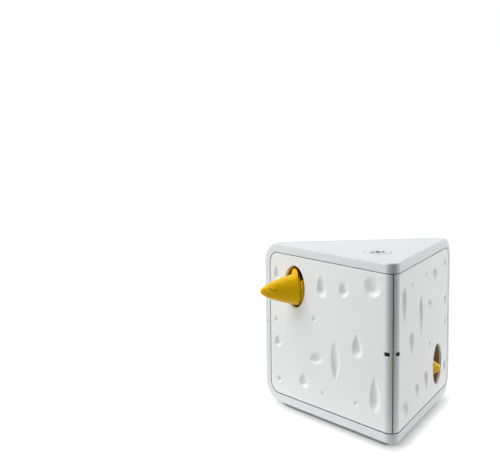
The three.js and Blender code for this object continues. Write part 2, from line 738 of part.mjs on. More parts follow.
function mouseHead() {
  const narrowing = headWidth / headHeight;
  const girth = (share) => headHeight / 2 * share ** headBowShare;
  const droop = (x) => snoutDroop * (1 - x / headLength) ** 2;
  const profile = [new THREE.Vector2(0, 0)];
  for (let ring = 1; ring <= headRings; ring += 1) {
    const share = (ring / headRings) ** 2;
    profile.push(new THREE.Vector2(girth(share), headLength * share));
  }
  profile.push(new THREE.Vector2(0, headLength));
  const shape = new THREE.LatheGeometry(profile, headSteps).rotateZ(-Math.PI / 2).scale(1, narrowing, 1);
  const place = shape.getAttribute('position');
  for (let i = 0; i < place.count; i += 1) {
    place.setZ(i, place.getZ(i) - droop(place.getX(i)));
  }
  const parts = [solid(shape)];
  const cups = [];
  [-1, 1].forEach((side) => {
    const ear = new THREE.SphereGeometry(1, smallSteps, screwSteps).rotateX(Math.PI / 2);
    const cup = ear.clone().scale(earCupShare, earCupShare, earCupShare).translate(-earCupShare, 0, 0);
    [ear, cup].forEach((form) => {
      form.scale(earHalfDepth, earHalfWidth, earHalfHeight).rotateX(side * earLean);
      form.translate(headLength - earSetback, side * earSpread, holeHeight / 2 - earDrop);
    });
    parts.push(solid(ear));
    cups.push(solid(cup));
    whiskerShares.forEach(([back, rise, fall]) => {
      const x = back * headLength;
      const spread = side * narrowing * girth(back);
      const direction = new THREE.Vector3(1, spread / (2 * x), fall / 2).normalize();
      const turn = new THREE.Quaternion().setFromUnitVectors(new THREE.Vector3(0, 1, 0), direction);
      const whisker = new THREE.CylinderGeometry(whiskerRadius / 2, whiskerRadius, whiskerLength, screwSteps);
      const z = rise * headHeight / 2 - droop(x);
      whisker.applyQuaternion(turn).translate(x, spread * Math.sqrt(1 - rise * rise), z);
      parts.push(solid(whisker));
    });
  });
  const socketFrom = headLength - socketDepth - seatGap;
  const socket = bar(spigotRadius + seatGap, socketFrom, headLength + overrun, 0, headDrop);
  return join(parts).subtract(join([...cups, socket])).subtract(block(
    [headLength, -headWidth, -headHeight], [headLength + headWidth, headWidth, headHeight * 2],
  ));
}

// A round-headed screw with its head's underside at zero and its shank going up.
function screwGeometry(radius, headRadius, headHeight, length) {
  const profile = [[0, -headHeight], [headRadius - radius, -headHeight], [headRadius, 0], [radius, 0],
    [radius, length - radius], [0, length]];
  return rounded(profile, 0, 0, screwSteps);
}

function circuitBoard() {
  const low = [-boardWidth / 2, buttonReach - boardDepth / 2, boardTop - boardThickness];
  const board = block(low, [boardWidth / 2, buttonReach + boardDepth / 2, boardTop]);
  const through = [boardTop - overrun, boardTop + overrun];
  return board.subtract(drums(smallScrewRadius + seatGap, ...through, places.board, smallSteps));
}

const switchTop = boardTop + seatGap + switchHeight;

function switchBody() {
  const half = switchSize / 2;
  const body = block([-half, buttonReach - half, boardTop + seatGap], [half, buttonReach + half, switchTop]);
  const well = switchTop - plungerSeat - buttonTravel - seatGap;
  return body.subtract(drum(plungerRadius + seatGap, well, switchTop + overrun, 0, buttonReach));
}

function buttonCap() {
  const top = housingHeight + buttonProud;
  const flangeTop = housingHeight - plateWall - seatGap;
  const flangeBottom = flangeTop - flangeThickness;
  const inner = buttonRadius - flangeThickness;
  const stemBottom = switchTop + plungerHeight + seatGap;
  const rim = buttonRadius + buttonFlange;
  const profile = [
    [0, stemBottom], [stemRadius, stemBottom], [stemRadius, top - flangeThickness],
    [inner, top - flangeThickness], [inner, flangeBottom], [rim, flangeBottom], [rim, flangeTop],
    [buttonRadius, flangeTop], [buttonRadius, top - buttonProud], [buttonRadius - buttonProud, top], [0, top],
  ];
  return rounded(profile, 0, buttonReach, buttonSteps);
}

// The contacts and cell of one battery row, along Y from the bay's front wall
const flatEnd = trayReach + seatGap + contactThickness;
const cellFront = flatEnd + seatGap;
const coilEnd = cellFront + cellNubLength + cellLength + seatGap;

function contactPlate(low) {
  const half = contactWidth / 2;
  return block([-half, low, cellLevel - half], [half, low + contactThickness, cellLevel + half]);
}

function batteryCell() {
  const profile = [
    [0, 0], [cellNubRadius, 0], [cellNubRadius, cellNubLength], [cellRadius - cellRim, cellNubLength],
    [cellRadius, cellNubLength + cellRim], [cellRadius, cellNubLength + cellLength - cellRim],
    [cellRadius - cellRim, cellNubLength + cellLength], [0, cellNubLength + cellLength],
  ];
  const points = profile.map(([radius, level]) => new THREE.Vector2(radius, level));
  return new THREE.LatheGeometry(points, roundSteps).translate(0, cellFront, cellLevel);
}

class ContactCoil extends THREE.Curve {
  getPoint(share) {
    const angle = share * coilTurns * 2 * Math.PI;
    const radius = coilOuter + (coilInner - coilOuter) * share;
    const y = coilEnd + coilHeight - share * (coilHeight - coilWire / 2);
    return new THREE.Vector3(radius * Math.cos(angle), y, cellLevel + radius * Math.sin(angle));
  }
}

function springContact() {
  const wire = new THREE.Shape();
  wire.absarc(0, 0, coilWire / 2, 0, Math.PI * 2, false);
  const options = { steps: boreSteps, curveSegments: screwSteps / 2, extrudePath: new ContactCoil() };
  return contactPlate(coilEnd + coilHeight).add(solid(new THREE.ExtrudeGeometry(wire, options)));
}

function footGeometry() {
  const chamfer = footSocket - seatGap;
  const profile = [[0, -footHeight], [footRadius - chamfer, -footHeight], [footRadius, chamfer - footHeight],
    [footRadius, chamfer], [0, chamfer]];
  return rounded(profile, 0, 0, footSteps);
}

function material(color, roughness, metalness = 0) {
  return new THREE.MeshStandardMaterial({ color, roughness, metalness });
}

const white = material(0xe6e8e9, 0.32);
const panelWhite = material(0xe9ebec, 0.3);
const yellow = material(0xe0a800, 0.28);
const liner = material(0xa87a10, 0.45);
const charcoal = material(0x26282a, 0.5);
const grey = material(0x8d9094, 0.5);
const nylon = material(0xd9d6c8, 0.45);
const steel = material(0xb4b7ba, 0.3, 0.9);
const brass = material(0xc0a35a, 0.35, 0.9);
const boardGreen = material(0x1d6b3a, 0.5);
const cellSleeve = material(0x2b3f63, 0.35, 0.2);
const rubber = material(0x34363a, 0.9);

function part(name, shape, finish) {
  const geometry = shape.isBufferGeometry ? shape : geometryOf(shape);
  const mesh = new THREE.Mesh(geometry, finish);
  mesh.name = name;
  return mesh;
}

// Assembly, in the housing's own frame with the sharp front corner at zero
const toy = new THREE.Group();
const opposite = new THREE.Group();
opposite.rotation.y = Math.PI;
opposite.position.z = housingHeight;
toy.add(opposite);

const housing = hollowHousing();
toy.add(part('upper_shell', upperShell(housing), white));
toy.add(part('lower_shell', lowerShell(housing), white));
toy.add(part('battery_door', batteryDoor(), white));
toy.add(part('mid_deck', midDeck(), charcoal));

// Pieces made alike for both sides, the second of each pair half turned
const panel = leftPanel();
const tunnel = upperTunnel();
const mouseBack = mouseBody();
const rackCarriage = carriage();
const rodSpan = [rodLow - bracketThickness, rodHigh + bracketThickness];
const guideRod = bar(rodRadius, ...rodSpan, rodY, rodLevel, boreSteps);
toy.add(part('left_panel', panel, panelWhite));
opposite.add(part('right_panel', panel, panelWhite));
toy.add(part('upper_tunnel', tunnel, liner));
opposite.add(part('lower_tunnel', tunnel, liner));
toy.add(part('upper_guide_rod', guideRod, steel));
opposite.add(part('lower_guide_rod', guideRod, steel));

const upperMouse = new THREE.Group();
upperMouse.add(part('upper_carriage', rackCarriage, nylon), part('upper_mouse_body', mouseBack, yellow));
toy.add(upperMouse);
const lowerMouse = new THREE.Group();
lowerMouse.add(part('lower_carriage', rackCarriage, nylon), part('lower_mouse_body', mouseBack, yellow));
lowerMouse.position.x = travel;
opposite.add(lowerMouse);

const head = mouseHead();
const upperHead = part('upper_mouse_head', head, yellow);
upperHead.position.set(-channelX - mouseReach - seatGap, channelY, middle + holeRise - headDrop);
const lowerHead = part('lower_mouse_head', head, yellow);
lowerHead.position.set(channelX + mouseReach + seatGap - travel, channelY, middle - holeRise - headDrop);
lowerHead.rotation.z = Math.PI;
toy.add(upperHead, lowerHead);

// Drive on the deck
toy.add(part('drive_shaft', drum(shaftRadius, housingHeight - coverTop, coverTop, 0, shaftY), steel));
toy.add(part('output_gear', outputGear(), nylon));
opposite.add(part('lower_pinion', rackPinion(), nylon));
toy.add(part('deck_bush', deckBush(), brass));
toy.add(part('idler_gear', idlerGear(), nylon));
toy.add(part('idler_pin', drum(pinRadius, deckBottom, coverTop, 0, idlerY), steel));
toy.add(part('motor_gear', motorGear(), brass));
toy.add(part('motor', motorCan(), steel));
const coverEnds = [[shaftRadius, shaftY], [pinRadius, idlerY]];
toy.add(part('gear_cover', coverPlate(motorY - coverMargin, places.cover, coverEnds), grey));
const bridge = coverPlate(shaftY - coverMargin, places.bridge, coverEnds.slice(0, 1));
opposite.add(part('lower_bridge', bridge, grey));

// Button, switch and board
toy.add(part('power_button', buttonCap(), white));
toy.add(part('circuit_board', circuitBoard(), boardGreen));
toy.add(part('switch_body', switchBody(), charcoal));
const plungerLow = switchTop - plungerSeat;
const plunger = drum(plungerRadius, plungerLow, switchTop + plungerHeight, 0, buttonReach);
toy.add(part('switch_plunger', plunger, charcoal));

// Batteries, the middle one the other way round
[-1, 0, 1].forEach((place, index) => {
  const number = index + 1;
  const row = new THREE.Group();
  row.position.x = place * cellPitch;
  if (place === 0) {
    row.rotation.z = Math.PI;
    row.position.y = trayReach + trayBack;
  }
  row.add(part(`battery_cell_${number}`, batteryCell(), cellSleeve));
  row.add(part(`flat_contact_${number}`, contactPlate(trayReach + seatGap), steel));
  row.add(part(`spring_contact_${number}`, springContact(), steel));
  toy.add(row);
});

// Feet and fasteners
const sideNames = ['front', 'left', 'right'];
const screw = screwGeometry(screwRadius, screwHeadRadius, screwHeadHeight, screwLength);
const smallSizes = [smallScrewRadius, smallScrewHeadRadius, smallScrewHeadHeight];
const smallScrew = screwGeometry(...smallSizes, smallScrewLength);

function standing(name, geometry, finish, [x, y], level, headUp = false) {
  const mesh = part(name, geometry, finish);
  mesh.position.set(x, y, level);
  mesh.rotation.y = headUp ? Math.PI : 0;
  return mesh;
}

sideNames.forEach((side, index) => {
  toy.add(standing(`${side}_foot`, footGeometry(), rubber, places.feet[index], 0));
  toy.add(standing(`${side}_housing_screw`, screw, steel, places.bosses[index], wellTop - seatGap));
});
const doorScrew = screwGeometry(...smallSizes, doorScrewLength);
toy.add(standing('door_screw', doorScrew, steel, [0, doorScrewY], smallScrewHeadHeight - seatGap));
places.board.forEach((spot, index) => {
  toy.add(standing(`board_screw_${index + 1}`, smallScrew, steel, spot, boardTop - boardThickness - seatGap));
});
places.cover.forEach((spot, index) => {
  toy.add(standing(`cover_screw_${index + 1}`, smallScrew, steel, spot, coverTop + seatGap, true));
});
places.bridge.forEach((spot, index) => {
  opposite.add(standing(`bridge_screw_${index + 1}`, smallScrew, steel, spot, coverTop + seatGap, true));
});
[-motorScrewSpread, motorScrewSpread].forEach((x, index) => {
  toy.add(standing(`motor_screw_${index + 1}`, smallScrew, steel, [x, motorY], deckTop + seatGap, true));
});

// Whole toy, moved to the middle of its footprint box and lifted onto its feet
const bodyHalfWidth = sideLength / 2 - cornerRadius * (1 / slope - 1);
const leftReach = channelX + mouseReach + seatGap;
const frontTip = cornerRadius / Math.sin(halfCorner) - cornerRadius;
toy.position.set((leftReach - bodyHalfWidth) / 2, -(frontTip + housingDepth) / 2, footHeight);

const model = new THREE.Group();
model.add(toy);
export default model;
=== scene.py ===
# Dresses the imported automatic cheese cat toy: the white moulded housing, its dented cheese
# panels, the two yellow mice, the button, door, feet and working parts, and the studio.
# Everything is in metres. Most shapes are built from the housing's sharp front corner, and
# new_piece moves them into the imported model's own frame.

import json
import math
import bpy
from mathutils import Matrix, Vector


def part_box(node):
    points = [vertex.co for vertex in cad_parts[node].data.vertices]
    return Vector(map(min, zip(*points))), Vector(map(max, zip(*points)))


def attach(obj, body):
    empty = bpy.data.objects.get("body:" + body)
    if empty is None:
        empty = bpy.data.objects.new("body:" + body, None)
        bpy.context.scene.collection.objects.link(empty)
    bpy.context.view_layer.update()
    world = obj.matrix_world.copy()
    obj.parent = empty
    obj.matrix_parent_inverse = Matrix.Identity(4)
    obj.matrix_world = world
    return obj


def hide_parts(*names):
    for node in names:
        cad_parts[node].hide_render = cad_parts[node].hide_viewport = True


bl_info = {
    "name": "Cheese Cat Toy",
    "version": (1, 0, 0),
    "blender": (4, 5, 0),
    "location": "3D View > Sidebar > Cat Toy",
    "description": "Dresses the packed automatic cheese cat toy and lights it",
    "category": "Object",
}

import bpy
from bpy.props import FloatProperty, FloatVectorProperty, PointerProperty
from bpy.types import Operator, Panel, PropertyGroup
from mathutils import Matrix, Vector
from mathutils.geometry import delaunay_2d_cdt

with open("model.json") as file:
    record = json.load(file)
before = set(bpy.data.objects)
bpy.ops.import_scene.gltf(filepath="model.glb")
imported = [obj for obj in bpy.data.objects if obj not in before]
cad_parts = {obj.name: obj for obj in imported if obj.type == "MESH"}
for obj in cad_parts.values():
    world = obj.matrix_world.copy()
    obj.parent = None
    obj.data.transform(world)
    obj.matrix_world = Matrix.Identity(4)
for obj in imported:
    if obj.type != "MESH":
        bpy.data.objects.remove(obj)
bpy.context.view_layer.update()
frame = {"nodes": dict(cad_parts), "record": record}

# The face angle of the three-cornered plan, the turn from the front seam to a face, and the
# directions that lie along and into the left face
HALF_CORNER = math.pi / 6
FRONT_TURN = math.pi / 3
ALONG = Vector((-math.sin(HALF_CORNER), math.cos(HALF_CORNER), 0))
INWARD = Vector((math.cos(HALF_CORNER), math.sin(HALF_CORNER), 0))
UP = Vector((0, 0, 1))

# The middle point of a rounded edge lies this share of its rounding inside both faces
BEND = 0.3

# The level where cuts into the floor begin, clear of the underside
BELOW = -0.001

# Length and half width of the battery door's screw tab, and the play round the door
DOOR_TAB = 0.009
DOOR_PLAY = 0.0003

# The three places that have a housing screw and a foot
STANDS = ("front", "left", "right")

# The levels between which a printed mark reaches, about the button's face
INK = (-0.0003, 0.00006)

# Dents of a panel as shares of its width from the far end and of its height: place across,
# place up, width, height, form and lean. Form 0 is round, 1 a drop with its tip up, 2 a spindle.
SPINDLE = 2
DENTS = (
    (0.445, 0.833, 0.083, 0.15, 1, 0.12),
    (0.622, 0.845, 0.076, 0.1, 0, 0),
    (0.836, 0.901, 0.118, 0.124, 0, 0.1),
    (0.726, 0.5, 0.086, 0.156, 1, 0),
    (0.555, 0.365, 0.074, 0.29, SPINDLE, 0),
    (0.405, 0.335, 0.108, 0.084, 0, -0.3),
    (0.292, 0.152, 0.086, 0.104, 1, 0),
    (0.857, 0.222, 0.084, 0.24, 1, 0),
    (0.066, 0.376, 0.06, 0.086, 1, 0),
    (0.062, 0.86, 0.052, 0.1, 0, 0),
    (0.056, 0.53, 0.034, 0.048, 0, 0),
    (0.383, 0.602, 0.033, 0.046, 0, 0),
    (0.078, 0.108, 0.042, 0.054, 0, 0),
    (0.455, 0.112, 0.029, 0.042, 0, 0),
    (0.716, 0.125, 0.03, 0.044, 0, 0),
)

# How much a drop narrows upwards and where it has its full width, where a dent is deepest, how
# its bowl curves, and how deep it is for its width. Heights are shares of a dent's half height.
DROP_TAPER = 0.42
DROP_WIDEST = -0.35
DEEPEST = -0.45
BOWL = 1.25
DEPTH_SHARE = 0.56


def length(name, description, default):
    return FloatProperty(
        name=name, description=description, default=default, min=0, precision=4,
        unit="LENGTH", subtype="DISTANCE",
    )


def colour(name, description, default):
    return FloatVectorProperty(
        name=name, description=description, default=default, size=3, min=0, max=1, subtype="COLOR",
    )


class ToySizes(PropertyGroup):
    height: length("Height", "Height of the housing without its feet", 0.201)
    side: length("Side", "Length of a side to the sharp corners", 0.251)
    corner: length("Corner radius", "Radius of the upright corners", 0.01)
    back_edge: length("Back edge radius", "Radius of the top and bottom edges at the back", 0.025)
    edge: length("Edge radius", "Radius of the top and bottom edges over the faces", 0.0022)
    wall: length("Wall", "Thickness of the top, bottom and back walls", 0.003)
    side_wall: length("Side wall", "Thickness of the side walls behind the panels", 0.0054)
    parting: length("Parting gap", "Gap between the upper and the lower shell", 0.0003)
    band: length("Band", "Height of the band above and below a panel", 0.012)
    lip: length("Lip", "Width of the lip that a panel sits on", 0.0035)
    panel_reach: length("Panel reach", "Far end of a panel from the sharp front corner", 0.226)
    panel_thickness: length("Panel thickness", "Thickness of a cheese panel", 0.0025)
    panel_seat: length("Panel seat", "Depth of the seat under a panel", 0.0028)
    panel_corner: length("Panel corner radius", "Radius of a panel's far corners", 0.014)
    seam: length("Seam", "Gap round a panel", 0.0008)
    rounding: length("Rounding", "Rounding of a panel's edges", 0.0006)
    dent: length("Dent", "Depth that the widest dents come near to", 0.0045)
    grid: length("Grid", "Distance between the points on a panel's face", 0.0042)
    hole_width: length("Hole width", "Width of a mouse hole on the face", 0.039)
    hole_height: length("Hole height", "Height of a mouse hole", 0.051054)
    hole_reach: length("Hole reach", "Middle of a hole from the sharp front corner", 0.177)
    hole_rise: length("Hole rise", "Middle of the upper hole above mid height", 0.051054)
    liner_wall: length("Liner wall", "Thickness of a hole's liner", 0.0018)
    liner_depth: length("Liner depth", "How far a liner reaches behind the hole's middle", 0.017)
    head_length: length("Head length", "Length of a mouse's head", 0.048)
    head_height: length("Head height", "Height of a mouse's head", 0.040654)
    head_width: length("Head width", "Width of a mouse's head", 0.031)
    head_droop: length("Head droop", "How far the nose hangs below the head's axis", 0.0016)
    collar_depth: length("Collar depth", "Thickness of the collar behind a head", 0.003)
    collar_gap: length("Collar gap", "Gap between a collar and its hole", 0.0012)
    collar_top: length("Collar top", "Flat top of a collar above its middle", 0.00919)
    neck_radius: length("Neck radius", "Radius of the neck behind a collar", 0.008)
    button_radius: length("Button radius", "Radius of the button's cap", 0.016)
    button_gap: length("Button gap", "Gap round the button", 0.0005)
    cell_size: length("Remeshing size", "Size of the faces on a mouse's head", 0.0005)


class ToyColours(PropertyGroup):
    # The housing is white plastic; its colour is set darker than the panels' white as painted shade on the
    # bands beside the panels
    housing: colour("Housing", "White plastic of the shells and the button", (0.67, 0.685, 0.69))
    panels: colour("Panels", "White plastic of the cheese panels", (0.755, 0.765, 0.765))
    mice: colour("Mice", "Yellow plastic of the mice", (0.93, 0.535, 0.002))
    # The liners are yellow plastic like the mice; this colour darkens them to brown as painted shade inside
    # the holes
    liners: colour("Liners", "Yellow-brown plastic of the hole liners", (0.24, 0.135, 0.016))
    marks: colour("Marks", "Dark marks on the button", (0.012, 0.014, 0.014))
    deck: colour("Deck", "Charcoal plastic of the inner deck and the switch", (0.006, 0.006, 0.007))
    covers: colour("Covers", "Grey plastic of the gear covers", (0.28, 0.29, 0.30))
    nylon: colour("Nylon", "Natural nylon of the racks and gears", (0.70, 0.67, 0.57))
    steel: colour("Steel", "Steel of the shafts, rods and screws", (0.55, 0.56, 0.57))
    brass: colour("Brass", "Brass of the motor gear and the bush", (0.62, 0.45, 0.17))
    board: colour("Board", "Green coating of the circuit board", (0.02, 0.16, 0.05))
    cells: colour("Cells", "Sleeves of the battery cells", (0.03, 0.05, 0.14))
    feet: colour("Feet", "Rubber of the feet", (0.035, 0.035, 0.04))


def toy_sizes():
    return bpy.context.scene.cat_toy_sizes


def toy_colours():
    return bpy.context.scene.cat_toy_colours


def front_corner():
    """Where the housing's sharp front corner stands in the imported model, at the shell's underside."""
    low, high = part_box("lower_shell")
    turn_in = toy_sizes().corner / math.sin(HALF_CORNER) - toy_sizes().corner
    return Vector(((low.x + high.x) / 2, low.y - turn_in, low.z))


def from_corner(node):
    """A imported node's middle seen from above, and its lowest and highest corner, measured from the
    sharp front corner."""
    low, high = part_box(node)
    corner = front_corner()
    middle = ((low.x + high.x) / 2 - corner.x, (low.y + high.y) / 2 - corner.y)
    return middle, low - corner, high - corner


def other_side(points):
    """Points of the left side carried to the right one by the half turn that the two sides share."""
    height = toy_sizes().height
    return [Vector((-p[0], p[1], height - p[2])) for p in points]


# Meshes

def in_scene(name, data):
    """A new object that the scene shows."""
    item = bpy.data.objects.new(name, data)
    bpy.context.scene.collection.objects.link(item)
    return item


def new_piece(name, points, faces, body, slot, *nodes, moved=True):
    """A piece that rides on a body and stands for the CAD nodes that it replaces."""
    shift = front_corner() if moved else Vector()
    mesh = bpy.data.meshes.new(name)
    mesh.from_pydata([Vector(p) + shift for p in points], [], faces)
    mesh.validate()
    piece = in_scene(name, mesh)
    if body:
        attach(piece, body)
    if nodes:
        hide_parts(*nodes)
    return piece


def loft(rings, closed=False):
    """Points and faces of a skin through rings that have as many points each.
    It is capped at both ends, or else it runs on from the last ring to the first."""
    count = len(rings[0])
    points = [p for ring in rings for p in ring]
    faces = []
    for level in range(len(rings) - (0 if closed else 1)):
        a, b = level * count, (level + 1) % len(rings) * count
        for i in range(count):
            j = (i + 1) % count
            faces.append((a + i, a + j, b + j, b + i))
    if not closed:
        faces.append(tuple(reversed(range(count))))
        faces.append(tuple(range(len(points) - count, len(points))))
    return points, faces


def joined(*forms):
    points, faces = [], []
    for some_points, some_faces in forms:
        start = len(points)
        points += list(some_points)
        faces += [tuple(start + i for i in face) for face in some_faces]
    return points, faces


def turned_inside_out(form):
    points, faces = form
    return points, [tuple(reversed(face)) for face in faces]


def oval(half_x, half_y, steps):
    """Places round an oval about the origin."""
    turns = [math.tau * i / steps for i in range(steps)]
    return [(half_x * math.cos(turn), half_y * math.sin(turn)) for turn in turns]


def arc(centre, radius, start, end, steps):
    """Places along a part of a circle, with both its ends."""
    turns = [start + (end - start) * i / steps for i in range(steps + 1)]
    return [Vector((centre[0] + radius * math.cos(turn), centre[1] + radius * math.sin(turn)))
            for turn in turns]


def turned_form(profile, centre, steps=64):
    """A form turned about an upright axis, from its lowest to its highest profile point."""
    return loft([[Vector((centre[0] + x, centre[1] + y, level)) for x, y in oval(radius, radius, steps)]
                 for radius, level in profile])


def prism(outline, low, high):
    """An outline pulled up from one level to another."""
    return loft([[Vector((x, y, z)) for x, y in outline] for z in (low, high)])


def block(low, high):
    outline = ((low[0], low[1]), (high[0], low[1]), (high[0], high[1]), (low[0], high[1]))
    return prism(outline, low[2], high[2])


def applied(piece):
    """The piece with its modifiers made part of its mesh."""
    graph = bpy.context.evaluated_depsgraph_get()
    mesh = bpy.data.meshes.new_from_object(piece.evaluated_get(graph))
    old, name = piece.data, piece.data.name
    piece.modifiers.clear()
    piece.data = mesh
    bpy.data.meshes.remove(old)
    mesh.name = name
    return piece


def combine(piece, operation, *forms):
    """Adds closed forms to a piece or cuts them away, one after the other."""
    for form in forms:
        tool = new_piece("tool", *form, None, None)
        step = piece.modifiers.new("combine", "BOOLEAN")
        step.operation = operation
        step.solver = "EXACT"
        step.object = tool
        applied(piece)
        mesh = tool.data
        bpy.data.objects.remove(tool)
        bpy.data.meshes.remove(mesh)
        if not piece.data.polygons:
            raise RuntimeError(f"nothing is left of {piece.name}")


def complete(finish_name, *pieces, crisp=32):
    """Gives pieces a finish, and smooth shading that stays crisp at edges and flat on large faces."""
    for piece in pieces:
        piece.data.shade_smooth()
        piece.data.set_sharp_from_angle(angle=math.radians(crisp))
        even = piece.modifiers.new("even", "WEIGHTED_NORMAL")
        even.keep_sharp = True
        even.weight = 90
        paint(piece, finish(finish_name))


# The housing's plan and its rounded edges

def plan_ring(side_inset, back_inset, level):
    """The housing's plan at one level, drawn in from the faces and from the back."""
    sizes = toy_sizes()
    radius = max(sizes.corner - side_inset, sizes.seam)
    front = side_inset / math.sin(HALF_CORNER)
    back = sizes.side * math.cos(HALF_CORNER) - back_inset
    half = (back - front) * math.tan(HALF_CORNER) - radius / math.tan(HALF_CORNER)
    corners = (
        (0, front + radius / math.sin(HALF_CORNER), HALF_CORNER - math.pi),
        (half, back - radius, -HALF_CORNER),
        (-half, back - radius, math.pi / 2),
    )
    turn, steps = math.tau / 3, 24
    ring = []
    for x, y, start in corners:
        ring += arc((x, y), radius, start, start + turn, steps)
    return [Vector((p.x, p.y, level)) for p in ring]


def round_levels(radius, steps):
    """How far below its top the points of a quarter round lie."""
    return {radius * (1 - math.cos(math.pi / 2 * i / steps)) for i in range(steps + 1)}


def round_inset(radius, drop):
    """How far inside the wall a quarter round lies at a drop below its top."""
    return radius - math.sqrt(max(radius ** 2 - (radius - drop) ** 2, 0))


def housing_rings(inset, back_inset, end_inset, open_end, edge):
    """Rings of the upper half of the housing, from its open end up over the rounded edges."""
    sizes = toy_sizes()
    back_radius = sizes.back_edge - back_inset
    back_steps, edge_steps = 20, 6
    drops = round_levels(back_radius, back_steps) | round_levels(edge, edge_steps)
    top = sizes.height - end_inset
    rings = [plan_ring(inset, back_inset, open_end)]
    for drop in sorted(drops, reverse=True):
        side = round_inset(edge, drop) if drop < edge else 0
        rings.append(plan_ring(inset + side, back_inset + round_inset(back_radius, drop), top - drop))
    return rings


# The skin of the two front faces: distance round it from the front seam, left positive

def skin_reach(along_skin):
    """The reach from the sharp corner of a place on the skin beyond the rounded front."""
    corner = toy_sizes().corner
    return along_skin + corner / math.tan(HALF_CORNER) - corner * FRONT_TURN


def skin_length(reach):
    corner = toy_sizes().corner
    return reach - corner / math.tan(HALF_CORNER) + corner * FRONT_TURN


def skin_point(along_skin, level, depth):
    corner = toy_sizes().corner
    side = -1 if along_skin < 0 else 1
    turn = abs(along_skin) / corner
    if turn < FRONT_TURN:
        outward = Vector((-math.sin(turn), -math.cos(turn), 0))
        place = Vector((0, corner / math.sin(HALF_CORNER), 0)) + outward * (corner - depth)
    else:
        place = ALONG * skin_reach(abs(along_skin)) + INWARD * depth
    return Vector((side * place.x, place.y, level))


def panel_half_height(along_skin, margin):
    """Half the height of a panel's outline, which its round far corners make less at the far end."""
    sizes = toy_sizes()
    far = skin_length(sizes.panel_reach) + margin
    radius = sizes.panel_corner + margin
    full = sizes.height / 2 - sizes.band + margin
    over = abs(along_skin) - (far - radius)
    if over <= 0:
        return full
    return full - radius + math.sqrt(max(radius ** 2 - over ** 2, 0))


def recess(margin, outside, depth):
    """The seat of both panels, one slab that runs round the front from far end to far end."""
    sizes = toy_sizes()
    far = skin_length(sizes.panel_reach) + margin
    radius = sizes.panel_corner + margin
    steps = 16
    left = [sizes.corner * FRONT_TURN * i / steps for i in range(steps + 1)]
    left += [far - radius + radius * math.sin(math.pi / 2 * i / steps) for i in range(steps + 1)]
    rings = []
    for s in [-s for s in reversed(left[1:])] + left:
        half = max(panel_half_height(s, margin), sizes.seam)
        rings.append([skin_point(s, sizes.height / 2 + z, d)
                      for z, d in ((-half, depth), (-half, -outside), (half, -outside), (half, depth))])
    return loft(rings)


def far_bends(far, low, high, radius, steps):
    """The lower and the upper round corner at the far end of a panel's outline or of its window."""
    middle = far - radius
    return (arc((middle, low + radius), radius, -math.pi / 2, 0, steps),
            arc((middle, high - radius), radius, 0, math.pi / 2, steps))


def window():
    """The opening inside the lip of the left panel's seat."""
    sizes = toy_sizes()
    far, near = sizes.panel_reach - sizes.lip, -sizes.side_wall
    low, high = sizes.band + sizes.lip, sizes.height - sizes.band - sizes.lip
    low_bend, high_bend = far_bends(far, low, high, sizes.panel_corner - sizes.lip, 12)
    outline = [*low_bend, *high_bend, Vector((near, high)), Vector((near, low))]
    return loft([[ALONG * p.x + UP * p.y + INWARD * depth for p in outline]
                 for depth in (sizes.panel_seat / 2, sizes.side_wall * 2)])


# Dents

def placed_dents():
    """Each dent's reach and level, half width, half height, form and lean."""
    sizes = toy_sizes()
    tall_face = sizes.height - 2 * sizes.band
    return [(sizes.panel_reach * (1 - across), sizes.band + rise * tall_face,
             wide * sizes.panel_reach / 2, tall * tall_face / 2, form, lean)
            for across, rise, wide, tall, form, lean in DENTS]


def narrowed(form, v):
    """A dent's width at a height in it, as a share of its full width."""
    if form == SPINDLE:
        return math.sqrt(max(1 - v * v, 0))
    return 1 - form * DROP_TAPER * (v - DROP_WIDEST)


def dent_depth(dents, reach, level):
    """How deep the panel's face is dented at a place, with soft rims."""
    limit = toy_sizes().dent
    deepest = 0
    for dent_reach, dent_level, half_wide, half_tall, form, lean in dents:
        v = (level - dent_level) / half_tall
        if abs(v) >= 1:
            continue
        u = (lean * v - (reach - dent_reach) / half_wide) / narrowed(form, v)
        if u * u + v * v < 1:
            scoop = 1 - away_from_deepest(u, v) ** BOWL
            depth = limit * math.tanh(DEPTH_SHARE * min(half_wide, half_tall) / limit)
            deepest = max(deepest, depth * scoop)
    return deepest


def away_from_deepest(u, v):
    """How far out a place lies on its way from a dent's deepest point to the rim."""
    rise = v - DEEPEST
    squared = u * u + rise * rise
    if squared == 0:
        return 0
    # The line from the deepest point through the place meets the rim at `rim` times its length
    fall = DEEPEST * rise
    rim = (-fall + math.sqrt(fall * fall + squared * (1 - DEEPEST * DEEPEST))) / squared
    return 1 / rim


def dent_places(dents):
    """Extra points in and round each dent, so that its rim and its bowl are smooth."""
    small, few_rings, many_rings, round_rim, fewest = 0.005, 6, 12, 36, 8
    places = []
    for dent_reach, dent_level, half_wide, half_tall, form, lean in dents:
        rings = few_rings if min(half_wide, half_tall) < small else many_rings
        for ring in range(1, rings + 2):
            size = ring / rings
            steps = max(fewest, int(round_rim * size))
            for i in range(steps):
                turn = math.tau * (i + ring / 2) / steps
                v = size * math.sin(turn)
                flat = size * math.cos(turn)
                if form == SPINDLE:
                    flat = math.copysign(min(abs(flat), 1), flat)
                reach = dent_reach - (flat * narrowed(form, v) - lean * v) * half_wide
                places.append(Vector((skin_length(reach), dent_level + v * half_tall)))
    return places


# Cheese panels

